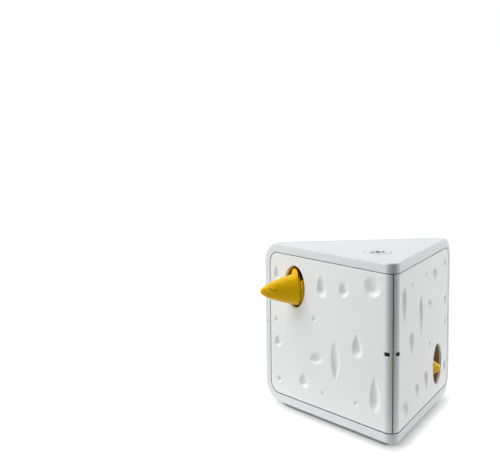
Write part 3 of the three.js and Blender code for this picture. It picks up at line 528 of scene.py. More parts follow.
def inset_outline(inset):
    """A panel's outline on the skin, drawn in by an inset."""
    sizes = toy_sizes()
    far = skin_length(sizes.panel_reach) - inset
    low, high = sizes.band + inset, sizes.height - sizes.band - inset
    radius = sizes.panel_corner - inset
    near = sizes.seam / 2 + inset
    columns, rows = 44, 60
    low_bend, high_bend = far_bends(far, low, high, radius, 16)
    side = [Vector((far, low + radius + (high - low - 2 * radius) * i / rows)) for i in range(1, rows)]
    top = [Vector((far - radius + (near - far + radius) * i / columns, high)) for i in range(1, columns)]
    down = [Vector((near, high + (low - high) * i / rows)) for i in range(rows + 1)]
    bottom = [Vector((p.x, low)) for p in reversed(top)]
    return low_bend + side + high_bend + top + down + bottom


def hole_middle():
    sizes = toy_sizes()
    return Vector((skin_length(sizes.hole_reach), sizes.height / 2 + sizes.hole_rise))


def hole_outline(growth):
    sizes = toy_sizes()
    return [hole_middle() + Vector(p)
            for p in oval(sizes.hole_width / 2 + growth, sizes.hole_height / 2 + growth, 72)]


def slot_outline(growth):
    """The slot beside the front seam, through which the deck's tab shows."""
    near, far, half_height, steps = 0.0036, 0.0086, 0.0021, 6
    sizes = toy_sizes()
    left, right = (sizes.corner * math.asin(min(x / sizes.corner, 1)) for x in (near - growth, far + growth))
    half = half_height + growth
    middle = sizes.height / 2
    corners = [(left, -half), (right, -half), (right, half), (left, half)]
    points = []
    for a, b in zip(corners, corners[1:] + corners[:1]):
        for step in range(steps):
            points.append(Vector((a[0] + (b[0] - a[0]) * step / steps,
                                  middle + a[1] + (b[1] - a[1]) * step / steps)))
    return points


def grown(outline):
    """An outline drawn out a little, to keep other points off its rounded rim."""
    middle = sum(outline, Vector((0, 0))) / len(outline)
    return [p + (p - middle).normalized() * 2 * toy_sizes().rounding for p in outline]


def inside(point, outline):
    """Whether a point lies inside an outline."""
    x, y = point
    result = False
    for i in range(len(outline)):
        a, b = outline[i - 1], outline[i]
        if (a.y > y) != (b.y > y) and x < (b.x - a.x) * (y - a.y) / (b.y - a.y) + a.x:
            result = not result
    return result


def panel_rims():
    """Rims of the panel, its hole and its slot, each in three steps from the edge to the face."""
    points, depths, edges = [], [], []
    soft = toy_sizes().rounding
    for inset, drop in ((0, soft), (soft * BEND, soft * BEND), (soft, 0)):
        for outline in (inset_outline(inset), hole_outline(inset), slot_outline(inset)):
            start = len(points)
            points += outline
            depths += [drop] * len(outline)
            edges += [(start + i, start + (i + 1) % len(outline)) for i in range(len(outline))]
    return points, depths, edges


def panel_places(dents):
    """Points on the panel's face: close together in and round the dents, and on a grid elsewhere."""
    sizes = toy_sizes()
    places = dent_places(dents)
    cell = sizes.grid / 2
    busy = {(round(p.x / cell) + i, round(p.y / cell) + j)
            for p in places for i in (-1, 0, 1) for j in (-1, 0, 1)}
    front, front_lines = sizes.corner * FRONT_TURN, 12
    lines = [front * i / front_lines for i in range(1, front_lines + 1)]
    lines += [front + sizes.grid * i for i in range(1, int(skin_length(sizes.panel_reach) / sizes.grid))]
    rows = int((sizes.height - 2 * sizes.band) / sizes.grid) + 1
    grid = [Vector((s, sizes.band + sizes.grid * (row + 0.5))) for s in lines for row in range(rows)]
    places += [p for p in grid if (round(p.x / cell), round(p.y / cell)) not in busy]
    rims = [grown(hole_outline(0)), grown(slot_outline(0))]
    face = inset_outline(2 * sizes.rounding)
    return [p for p in places if inside(p, face) and not any(inside(p, rim) for rim in rims)]


def on_hole_rim(point):
    sizes = toy_sizes()
    away = point - hole_middle()
    just_outside = 1.001
    return math.hypot(2 * away.x / sizes.hole_width, 2 * away.y / sizes.hole_height) < just_outside


def panel_form():
    """A cheese panel: dented front, rounded rims, hole, slot and an even thickness."""
    sizes = toy_sizes()
    dents = placed_dents()
    points, depths, edges = panel_rims()
    places = panel_places(dents)
    points += places
    depths += [0] * len(places)
    verts, _, faces, origins, _, _ = delaunay_2d_cdt(points, edges, [], 0, 1e-7)
    outer, hole, slot = inset_outline(0), hole_outline(0), slot_outline(0)
    middles = [sum((verts[i] for i in face), Vector((0, 0))) / len(face) for face in faces]
    kept = [tuple(face) for face, p in zip(faces, middles)
            if inside(p, outer) and not inside(p, hole) and not inside(p, slot)]
    front, back = [], []
    for p, origin in zip(verts, origins):
        dent = dent_depth(dents, skin_reach(p.x), p.y) if p.x > sizes.corner * FRONT_TURN else 0
        drop = depths[origin[0]] if origin else 0
        front.append(skin_point(p.x, p.y, drop + dent))
        back.append(skin_point(p.x, p.y, sizes.panel_thickness + dent))
        if on_hole_rim(p):
            # The hole's wall runs straight along X, as the mouse does
            x = sizes.panel_thickness / math.cos(HALF_CORNER) - front[-1].y * math.tan(HALF_CORNER)
            back[-1] = Vector((x, front[-1].y, front[-1].z))
    return front + back, thickened(kept, len(verts))


def thickened(kept, count):
    """Faces of a closed plate from those of its front, with the back's points after the front's."""
    faces = kept + [tuple(count + i for i in reversed(face)) for face in kept]
    borders = {(face[i - 1], face[i]) for face in kept for i in range(len(face))}
    faces += [(b, a, count + a, count + b) for a, b in borders if (b, a) not in borders]
    return faces


# Materials

def fill(tree, node, inputs):
    """Gives a shader node's inputs their values, or joins them to the outputs of other nodes."""
    for name, value in inputs.items():
        if isinstance(value, bpy.types.NodeSocket):
            tree.links.new(value, node.inputs[name])
        else:
            node.inputs[name].default_value = value


def add(tree, kind, inputs, **settings):
    """A new shader node, with its settings and inputs."""
    node = tree.nodes.new(kind)
    for name, value in settings.items():
        setattr(node, name, value)
    fill(tree, node, inputs)
    return node


def calculated(tree, operation, *values):
    node = add(tree, "ShaderNodeMath", dict(enumerate(values)), operation=operation)
    return node.outputs["Value"]


def mapped(tree, value, source, target, kind="LINEAR"):
    """A value carried from one range to another, and held at the ends."""
    names = ("Value", "From Min", "From Max", "To Min", "To Max")
    inputs = dict(zip(names, (value, *source, *target)))
    return add(tree, "ShaderNodeMapRange", inputs, interpolation_type=kind).outputs["Result"]


def plastic(name, base, roughness, variation=0.03, bump=0.00002, grain=900, coat=0.0, metal=0.0,
            gleam=0.5, tint=(1, 1, 1), gap_shade_strength=0.0, uneven=0.05):
    """Moulded or drawn surface: slight changes of tone, uneven gloss, a fine grain and painted shade in
    narrow gaps.
    """
    material = bpy.data.materials.new(name)
    material.use_nodes = True
    tree = material.node_tree
    place = add(tree, "ShaderNodeTexCoord", {}).outputs["Object"]
    # The scale and detail of the tone's patches, of the gloss's smears and of the fine grain
    tone, smear, fine = (
        add(tree, "ShaderNodeTexNoise", {"Vector": place, "Scale": scale, "Detail": detail}).outputs["Fac"]
        for scale, detail in ((18, 4), (55, 6), (grain, 3))
    )
    ramp = add(tree, "ShaderNodeValToRGB", {"Fac": tone})
    stops = zip(ramp.color_ramp.elements, (0.3, 0.7), (1 - variation, 1 + variation))
    for stop, position, share in stops:
        stop.position = position
        stop.color = [*(min(c * share, 1) for c in base), 1]
    surface = ramp.outputs["Color"]
    # Painted shade: the colour is darkened where ambient occlusion finds little open air
    if gap_shade_strength:
        surface = painted_gap_shade(tree, surface, gap_shade_strength)
    relief = add(tree, "ShaderNodeBump", {"Strength": 0.6, "Distance": bump, "Height": fine})
    fill(tree, tree.nodes["Principled BSDF"], {
        "Base Color": surface,
        "Metallic": metal,
        "Roughness": mapped(tree, smear, (0, 1), (max(roughness - uneven, 0.02), roughness + uneven)),
        "Normal": relief.outputs["Normal"],
        "Specular IOR Level": gleam,
        "Specular Tint": (*tint, 1),
        "Coat Weight": coat,
        "Coat Roughness": 0.08,
    })
    return material


def painted_gap_shade(tree, surface, strength):
    """The colour darkened in narrow gaps between pieces and in tight creases, where light barely reaches:
    painted shade.
    """
    gap, shut, open_air = 0.0014, 0.4, 0.92
    light = add(tree, "ShaderNodeAmbientOcclusion", {"Distance": gap}, samples=8).outputs["AO"]
    share = mapped(tree, light, (shut, open_air), (1 - strength, 1))
    darker = add(tree, "ShaderNodeVectorMath", {0: surface, "Scale": share}, operation="SCALE")
    return darker.outputs["Vector"]


def paint(piece, material):
    piece.data.materials.clear()
    piece.data.materials.append(material)


# How the housing's satin white surfaces look, and those of them that meet at narrow gaps, which get painted
# shade there
SATIN = {"roughness": 0.38, "variation": 0.006, "gleam": 0.4, "uneven": 0.012}
SATIN_WITH_PAINTED_GAP_SHADE = {**SATIN, "gap_shade_strength": 0.95}

# Finishes of the toy: the record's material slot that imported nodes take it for, the colour's
# name in the panel and how the surface looks
FINISHES = {
    "shell_plastic": ("housing_white", "housing", SATIN_WITH_PAINTED_GAP_SHADE),
    "cap_plastic": (None, "housing", SATIN),
    "panel_plastic": ("panel_white", "panels", SATIN_WITH_PAINTED_GAP_SHADE),
    # The mice get painted shade in the creases round their ears and whisker ridges
    "mouse_plastic": ("mouse_yellow", "mice", {"roughness": 0.24, "variation": 0.04, "gleam": 0.28,
                                               "tint": (1, 0.92, 0.2), "gap_shade_strength": 0.5, "uneven": 0.03}),
    "liner_plastic": ("liner_yellow", "liners", {"roughness": 0.4, "variation": 0.08, "gleam": 0.3}),
    "button_ink": (None, "marks", {"roughness": 0.5, "gleam": 0.2}),
    "deck_plastic": ("deck_charcoal", "deck", {"roughness": 0.6, "variation": 0.08, "bump": 0.00005,
                                               "gleam": 0.1}),
    "cover_plastic": ("grey_plastic", "covers", {"roughness": 0.45, "variation": 0.05, "bump": 0.00005}),
    "rack_nylon": ("nylon", "nylon", {"roughness": 0.42, "variation": 0.04}),
    "bright_steel": ("steel", "steel", {"roughness": 0.3, "variation": 0.06, "metal": 1.0}),
    "turned_brass": ("brass", "brass", {"roughness": 0.32, "variation": 0.08, "metal": 1.0}),
    "board_coating": ("board_green", "board", {"roughness": 0.35, "variation": 0.2, "grain": 300}),
    "cell_wrap": ("cell_sleeve", "cells", {"roughness": 0.3, "variation": 0.1, "coat": 0.3}),
    "pad_rubber": ("foot_rubber", "feet", {"roughness": 0.75, "variation": 0.1, "bump": 0.00006,
                                           "grain": 1400}),
}


def finish(name):
    """A finish's material, made once."""
    ready = bpy.data.materials.get(name)
    if ready:
        return ready
    _, colour_name, looks = FINISHES[name]
    return plastic(name, getattr(toy_colours(), colour_name), **looks)


# Operators

class CATTOY_OT_housing(Operator):
    """Build the upper and the lower shell, with the seats of the panels"""

    bl_idname = "cat_toy.housing"
    bl_label = "Housing shells"

    def execute(self, context):
        sizes = toy_sizes()
        middle = sizes.height / 2
        rings = housing_rings(0, 0, 0, middle + sizes.parting / 2, sizes.edge)
        hollow = housing_rings(sizes.side_wall, sizes.wall, sizes.wall, middle - sizes.wall, sizes.seam)
        points, faces = window()
        seats = (recess(sizes.seam, sizes.panel_seat, sizes.panel_seat),
                 (points, faces), (other_side(points), faces))
        upper = new_piece("upper_housing", *loft(rings), "housing", "housing_white", "upper_shell")
        lower = new_piece("lower_housing", *self.lower_half(rings), "housing", "housing_white", "lower_shell")
        combine(upper, "DIFFERENCE", loft(hollow), *seats)
        combine(lower, "DIFFERENCE", self.lower_half(hollow), *seats)
        self.open_top(upper)
        self.fit_floor(lower)
        complete("shell_plastic", upper, lower)
        return {"FINISHED"}

    @staticmethod
    def lower_half(rings):
        """The upper half's rings turned over, from the lowest one up."""
        return loft([list(reversed(other_side(ring))) for ring in reversed(rings)])

    @staticmethod
    def open_top(upper):
        """Cuts the button's hole with its soft rim."""
        sizes = toy_sizes()
        soft = 0.0006
        bore, top = sizes.button_radius + sizes.button_gap, sizes.height
        profile = [(bore, top - 2 * sizes.wall), (bore, top - soft), (bore + soft * 2 / 3, top - soft / 6),
                   (bore + soft, top), (bore + soft, top + sizes.wall)]
        combine(upper, "DIFFERENCE", turned_form(profile, from_corner("power_button")[0], 96))

    @staticmethod
    def fit_floor(lower):
        """Adds the screw bosses and the battery tray, and cuts the bay, the door's seat and the wells."""
        floor, play = toy_sizes().wall, 0.0003
        boss, boss_height, well, well_height, soft = 0.0046, 0.006, 0.0033, 0.0022, 0.0004
        bosses, wells = [], []
        for stand in STANDS:
            middle, head, _ = from_corner(f"{stand}_housing_screw")
            mouth = well + soft
            bosses.append(turned_form([(boss, floor / 2), (boss, head.z + boss_height)], middle, 32))
            wells.append(turned_form([(mouth, BELOW), (mouth, 0), (well, soft), (well, head.z + well_height)],
                                     middle, 32))
            middle, low, high = from_corner(f"{stand}_foot")
            reach = (high.x - low.x) / 2 + play
            wells.append(turned_form([(reach, BELOW), (reach, high.z + play)], middle, 48))
        wall, step, door_seat = 0.0015, 0.002, 0.0023
        _, low, high = from_corner("battery_door")
        cells = [p for number in (1, 3) for p in from_corner(f"battery_cell_{number}")[1:]]
        left, right = min(p.x for p in cells) - play, max(p.x for p in cells) + play
        tab, top = low.y + DOOR_TAB, max(p.z for p in cells) + play + wall
        tray = block((left - wall, tab - wall, floor / 2), (right + wall, high.y + wall, top))
        bay = block((left, tab, BELOW), (right, high.y - step, top - wall))
        combine(lower, "UNION", tray, *bosses)
        combine(lower, "DIFFERENCE", bay, *wells, door_plate(DOOR_PLAY, BELOW, door_seat))


def door_plate(margin, low, high):
    """The battery door's plate with its screw tab, as one outline pulled up."""
    _, start, end = from_corner("battery_door")
    tongue = 0.002
    tab, half_tab = start.y + DOOR_TAB, DOOR_TAB + margin
    left, right = start.x - margin, end.x + margin
    back = end.y - tongue + margin
    middle = (left + right) / 2
    outline = [(middle - half_tab, start.y - margin), (middle + half_tab, start.y - margin),
               (middle + half_tab, tab - margin), (right, tab - margin), (right, back), (left, back),
               (left, tab - margin), (middle - half_tab, tab - margin)]
    return prism(outline, low, high)


class CATTOY_OT_panels(Operator):
    """Build the two dented cheese panels, one form used on both sides"""

    bl_idname = "cat_toy.panels"
    bl_label = "Cheese panels"

    def execute(self, context):
        points, faces = panel_form()
        for side, places in (("left", points), ("right", other_side(points))):
            panel = new_piece(f"{side}_cheese_panel", places, faces, "housing", "panel_white",
                              f"{side}_panel")
            complete("panel_plastic", panel, crisp=50)
        return {"FINISHED"}


class CATTOY_OT_liners(Operator):
    """Build the liners behind the two mouse holes"""

    bl_idname = "cat_toy.liners"
    bl_label = "Hole liners"

    def execute(self, context):
        sizes = toy_sizes()
        seat, wall = sizes.panel_seat, sizes.liner_wall
        soft, flange = 0.0005, 0.004
        rings = [self.slanted_ring(soft, seat), self.slanted_ring(0, seat + soft),
                 self.end_ring(0), self.end_ring(wall), self.slanted_ring(wall, seat + wall),
                 self.slanted_ring(flange, seat + wall), self.slanted_ring(flange, seat)]
        points, faces = turned_inside_out(loft(rings, closed=True))
        for side, places in (("upper", points), ("lower", other_side(points))):
            liner = new_piece(f"{side}_liner", places, faces, "housing", "liner_yellow", f"{side}_tunnel")
            complete("liner_plastic", liner)
        return {"FINISHED"}

    @staticmethod
    def ring_places(growth):
        """Across and up round the upper hole, seen along X."""
        sizes = toy_sizes()
        middle = sizes.hole_reach * math.cos(HALF_CORNER)
        level = sizes.height / 2 + sizes.hole_rise
        half = sizes.hole_width / 2 * math.cos(HALF_CORNER)
        return [(middle + y, level + z) for y, z in oval(half + growth, sizes.hole_height / 2 + growth, 96)]

    def slanted_ring(self, growth, depth):
        """A ring that lies at an even depth behind the slanted face."""
        start = depth / math.cos(HALF_CORNER)
        return [Vector((start - y * math.tan(HALF_CORNER), y, z)) for y, z in self.ring_places(growth)]

    def end_ring(self, growth):
        """A ring across X at the liner's inner end."""
        sizes = toy_sizes()
        end = sizes.liner_depth - sizes.hole_reach * math.sin(HALF_CORNER)
        return [Vector((end, y, z)) for y, z in self.ring_places(growth)]


class CATTOY_OT_mice(Operator):
    """Build the heads of both mice, and the collars and necks behind them"""

    bl_idname = "cat_toy.mice"
    bl_label = "Mice"

    def execute(self, context):
        for side in ("upper", "lower"):
            paint(self.head(side), finish("mouse_plastic"))
            complete("mouse_plastic", self.back(side))
        return {"FINISHED"}

    @staticmethod
    def girth(share):
        """Half the head's size as a share: a bulging cone, pinched at the nose and rounded behind."""
        bulge, nose, nose_spread, nose_pinch, rear, taper = 0.52, 0.0052, 0.0013, 0.05, 0.0045, 0.1
        end = toy_sizes().head_length
        pinch = nose_pinch * math.exp(-((share * end - nose) / nose_spread) ** 2)
        behind = max(share * end - end + rear, 0) / rear
        return share ** bulge * (1 - pinch) * (1 - taper * behind ** 2)

    @staticmethod
    def droop(x):
        """How far the head's middle hangs at a distance from its tip."""
        sizes = toy_sizes()
        return sizes.head_droop * (1 - x / sizes.head_length) ** 2

    @staticmethod
    def in_its_hole(side, points, low, high, level):
        """A mouse's points, carried from X = 0 into its hole and turned round for the lower one."""
        middle = (low.y + high.y) / 2
        if side == "lower":
            return [Vector((high.x - p.x, middle - p.y, level + p.z)) for p in points]
        return [Vector((low.x + p.x, middle + p.y, level + p.z)) for p in points]

    def cone(self):
        """The head without its ears, in rings that lie closer together at the nose."""
        sizes = toy_sizes()
        levels = 40
        rings = []
        for level in range(1, levels + 1):
            share = (level / levels) ** 2
            x, size = sizes.head_length * share, self.girth(share)
            half_y, half_z = sizes.head_width / 2 * size, sizes.head_height / 2 * size
            rings.append(across_ring(x, half_y, half_z, self.droop(x)))
        return loft(rings)

    def whiskers(self, side):
        """Two plain ridges beside the nose, each placed by how far back, how high and how steep it is."""
        sizes = toy_sizes()
        before, behind, thin, thick = 0.0045, 0.0055, 0.0011, 0.0015
        ridges = []
        for back, rise, fall in ((0.26, 0.2, -0.5), (0.29, 0.0, -0.72)):
            x = back * sizes.head_length
            spread = side * (sizes.head_width / 2) * self.girth(back)
            direction = Vector((1, spread / (2 * x), fall / 2)).normalized()
            height = rise * (sizes.head_height / 2) - self.droop(x)
            start = Vector((x, spread * math.sqrt(1 - rise * rise), height))
            ridges.append(capsule(start - direction * before, start + direction * behind, thin, thick))
        return ridges

    def head(self, side):
        sizes = toy_sizes()
        ear_forward, ear_apart, ear_below = 0.0065, 0.0062, 0.0082
        forms = [self.cone()]
        for hand in (-1, 1):
            middle = (sizes.head_length - ear_forward, hand * ear_apart, sizes.hole_height / 2 - ear_below)
            forms.append(ear_form(*middle, sizes.head_length, hand))
            forms += self.whiskers(hand)
        points, faces = joined(*forms)
        low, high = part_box(f"{side}_mouse_head")
        points = self.in_its_hole(side, points, low, high, low.z + sizes.head_height / 2)
        piece = new_piece(f"{side}_head", points, faces, f"{side}_mouse", "mouse_yellow",
                          f"{side}_mouse_head", moved=False)
        cells = piece.modifiers.new("cells", "REMESH")
        cells.mode = "VOXEL"
        cells.voxel_size = sizes.cell_size
        soften = piece.modifiers.new("soften", "SMOOTH")
        soften.factor = 0.5
        soften.iterations = 3
        applied(piece)
        piece.data.shade_smooth()
        return piece

    def back(self, side):
        """The spigot inside the head, the collar that fills the hole and the neck behind it."""
        sizes = toy_sizes()
        low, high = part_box(f"{side}_mouse_body")
        half_y = sizes.hole_width / 2 * math.cos(HALF_CORNER) - sizes.collar_gap
        half_z = sizes.hole_height / 2 - sizes.collar_gap
        spigot, point, bevel, neck, soft, fillet = 0.005, 0.0045, 0.0004, sizes.neck_radius, 0.0006, 0.001
        front = 0.008
        rear = front + sizes.collar_depth
        rings = [across_ring(x, size, size) for x, size in ((0, point), (bevel, spigot), (front, spigot))]
        for x, inset in ((front, soft), (front + soft * BEND, soft * BEND), (front + soft, 0),
                         (rear - soft, 0), (rear, soft)):
            rings.append(across_ring(x, half_y - inset, half_z - inset))
        rings += [across_ring(x, size, size)
                  for x, size in ((rear, neck + fillet), (rear + fillet, neck), (high.x - low.x, neck))]
        points, faces = turned_inside_out(loft(rings))
        level = high.z - half_z if side == "lower" else low.z + half_z
        piece = new_piece(f"{side}_collar", self.in_its_hole(side, points, low, high, level), faces,
                          f"{side}_mouse", "mouse_yellow", f"{side}_mouse_body", moved=False)
        way = -1 if side == "lower" else 1
        bottom, top = sorted((level + way * sizes.collar_top, level + way * 2 * half_z))
        start, end = Vector((low.x - 1, low.y - 1, bottom)), Vector((high.x + 1, high.y + 1, top))
        combine(piece, "DIFFERENCE", block(start - front_corner(), end - front_corner()))
        return piece


def across_ring(x, half_y, half_z, fall=0):
    """An oval ring of points that stands across the X axis."""
    return [Vector((x, y, z - fall)) for y, z in oval(half_y, half_z, 64)]


def ear_form(x, y, z, stop, hand):
    """A cupped ear, an oval shell with a hollow in front, which leans in towards the other one."""
    steps, rings = 24, 16
    half = Vector((0.0034, 0.0046, 0.0093))
    front, cup, cup_round, squareness = 0.35, 1.2, 1.2, 0.75
    lean = Matrix.Rotation(hand * math.pi / 10, 3, "X") @ Matrix.Rotation(-hand * math.pi / 4, 3, "Z")
    loops = []
    for ring in range(1, rings):
        turn = math.pi * ring / rings
        bend, size = math.cos(turn), math.sin(turn)
        if bend <= 0:
            bend = -bend * front * (1 - cup * (1 - size) ** cup_round)
        spots = [lean @ Vector((half.x * bend, half.y * size * c,
                                half.z * size * math.copysign(abs(s) ** squareness, s)))
                 for c, s in oval(1, 1, steps)]
        loops.append([Vector((min(x + spot.x, stop), y + spot.y, z + spot.z)) for spot in spots])
    return loft(loops)


def capsule(start, end, small, large):
    """A tapered round ridge between two points."""
    axis = (end - start).normalized()
    side = axis.orthogonal().normalized()
    other = axis.cross(side)
    rings = []
    for at, size in ((0, 0.3), (0.04, 0.8), (0.1, 1), (0.9, 1), (0.96, 0.8), (1, 0.3)):
        centre = start.lerp(end, at)
        radius = (small + (large - small) * at) * size
        rings.append([centre + side * radius * c + other * radius * s for c, s in oval(1, 1, 12)])
    return loft(rings)


class CATTOY_OT_button(Operator):
    """Build the button's cap with its three small marks"""

    bl_idname = "cat_toy.button"
    bl_label = "Button"

    def execute(self, context):
        sizes = toy_sizes()
        middle, low, high = from_corner("power_button")
        x, y = middle[0] + 0.0004, middle[1]
        top, radius, flange = high.z, sizes.button_radius, (high.x - low.x) / 2
        proud, play, wall, stem, crown, soft, rim = 0.0005, 0.0003, 0.002, 0.0026, 0.0022, 0.0008, 0.0022
        inner, under = radius - wall, top - proud - sizes.wall - play
        # Up the stem, down inside the cap, round its flange, up its side and over its dished top
        profile = [(stem, low.z), (stem, top - crown), (inner, top - crown), (inner, under - wall),
                   (flange, under - wall), (flange, under), (radius, under),
                   (radius, top - soft), (radius - 0.0002, top - 0.0003), (radius - soft, top),
                   (radius - rim, top), (radius - 0.004, top - 0.0003), (radius * 0.4, top - 0.0006),
                   (0.0003, top - 0.00065)]
        cap = new_piece("button_cap", *turned_form(profile, middle, 96), "button", "housing_white",
                        "power_button")
        complete("cap_plastic", cap)
        # A ring with a stroke in it, an open ring with a stroke on its right, and a bar on its left
        right, left, level = x + 0.0071, x - 0.0066, top - proud
        marks = [ring_mark(x, y, level, 0), bar_mark(x, y + 0.001, level, 0.0007, 0.003),
                 ring_mark(right, y, level, 0.16), bar_mark(right, y + 0.004, level, 0.0007, 0.0032),
                 bar_mark(left, y, level, 0.0027, 0.0026)]
        printed = new_piece("button_marks", *joined(*marks), "button", "housing_white")
        complete("button_ink", printed)
        return {"FINISHED"}


def ring_mark(x, y, level, gap):
    """A printed oval ring, open at the top by a share of its round."""
    half_x, half_y, width, steps = 0.0027, 0.0062, 0.0015, 40
    low, high = (level + rise for rise in INK)
    start = math.pi / 2 + math.pi * gap
    rings = []
    for i in range(steps + (1 if gap else 0)):
        turn = start + math.tau * (1 - gap) * i / steps
        c, s = math.cos(turn), math.sin(turn)
        rings.append([Vector((x + (half_x - inset) * c, y + (half_y - inset) * s, z))
                      for inset, z in ((width, low), (0, low), (0, high), (width, high))])
    return loft(rings, closed=not gap)


def bar_mark(x, y, level, half_x, half_y):
    low, high = (level + rise for rise in INK)
    return block((x - half_x, y - half_y, low), (x + half_x, y + half_y, high))


class CATTOY_OT_underside(Operator):
    """Build the battery door, its screw and the three feet"""

    bl_idname = "cat_toy.underside"
    bl_label = "Door, screw and feet"

    def execute(self, context):
        self.door()
        self.pads()
        self.screw()
        return {"FINISHED"}

    @staticmethod
    def door():
        thickness, head_well, head_depth, shank_hole, above = 0.002, 0.0021, 0.0018, 0.0012, 0.004
        door = new_piece("bay_door", *door_plate(-DOOR_PLAY, 0, thickness), "housing", "housing_white",
                         "battery_door")
        soften = door.modifiers.new("soften", "BEVEL")
        soften.width = 0.0004
        soften.segments = 3
        soften.limit_method = "ANGLE"
        applied(door)
        middle = from_corner("door_screw")[0]
        combine(door, "DIFFERENCE", turned_form([(head_well, BELOW), (head_well, head_depth)], middle, 48),
                turned_form([(shank_hole, BELOW), (shank_hole, above)], middle, 32))
        complete("shell_plastic", door)

    @staticmethod
    def pads():
        core, hollow, rim, slope, soft = 0.0005, 0.0002, 0.0022, 0.0003, 0.001
        for stand in STANDS:
            middle, low, high = from_corner(f"{stand}_foot")
            radius, foot, top = (high.x - low.x) / 2, low.z, high.z
            profile = [(core, foot + hollow), (radius - rim - slope, foot + hollow), (radius - rim, foot),
                       (radius - soft, foot), (radius - soft * BEND, foot + soft * BEND),
                       (radius, foot + soft), (radius, top), (core, top)]
            pad = new_piece(f"{stand}_pad", *turned_form(profile, middle), "housing", "foot_rubber",
                            f"{stand}_foot")
            complete("pad_rubber", pad)

    @staticmethod
    def screw():
        low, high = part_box("door_screw")
        foot, head, shank, core = low.z, (high.x - low.x) / 2, 0.0009, 0.0003
        seat, slot_end, slot_side, slot_depth = foot + 0.0012, 0.0011, 0.0003, 0.0006
        profile = [(core, foot), (head - 0.0008, foot), (head - 0.0002, foot + 0.0004), (head, seat),
                   (shank, seat), (shank, high.z - shank), (core, high.z)]
        middle = ((low.x + high.x) / 2, (low.y + high.y) / 2)
        screw = new_piece("bay_screw", *turned_form(profile, middle, 48), "housing", "steel", "door_screw",
                          moved=False)
        x, y = from_corner("door_screw")[0]
        z = foot - front_corner().z
        for half_x, half_y in ((slot_end, slot_side), (slot_side, slot_end)):
            slot = block((x - half_x, y - half_y, z + BELOW), (x + half_x, y + half_y, z + slot_depth))
            combine(screw, "DIFFERENCE", slot)
        complete("bright_steel", screw)


class CATTOY_OT_workings(Operator):
    """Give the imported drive, battery and board nodes their finishes"""

    bl_idname = "cat_toy.workings"
    bl_label = "Working parts"

    def execute(self, context):
        finish_of = {slot: name for name, (slot, _, _) in FINISHES.items()}
        for subpart in frame["record"]["subparts"]:
            for spot in frame["nodes"][subpart["node"]].material_slots:
                spot.link = "OBJECT"
                spot.material = finish(finish_of[subpart["material_slot"]])
        return {"FINISHED"}


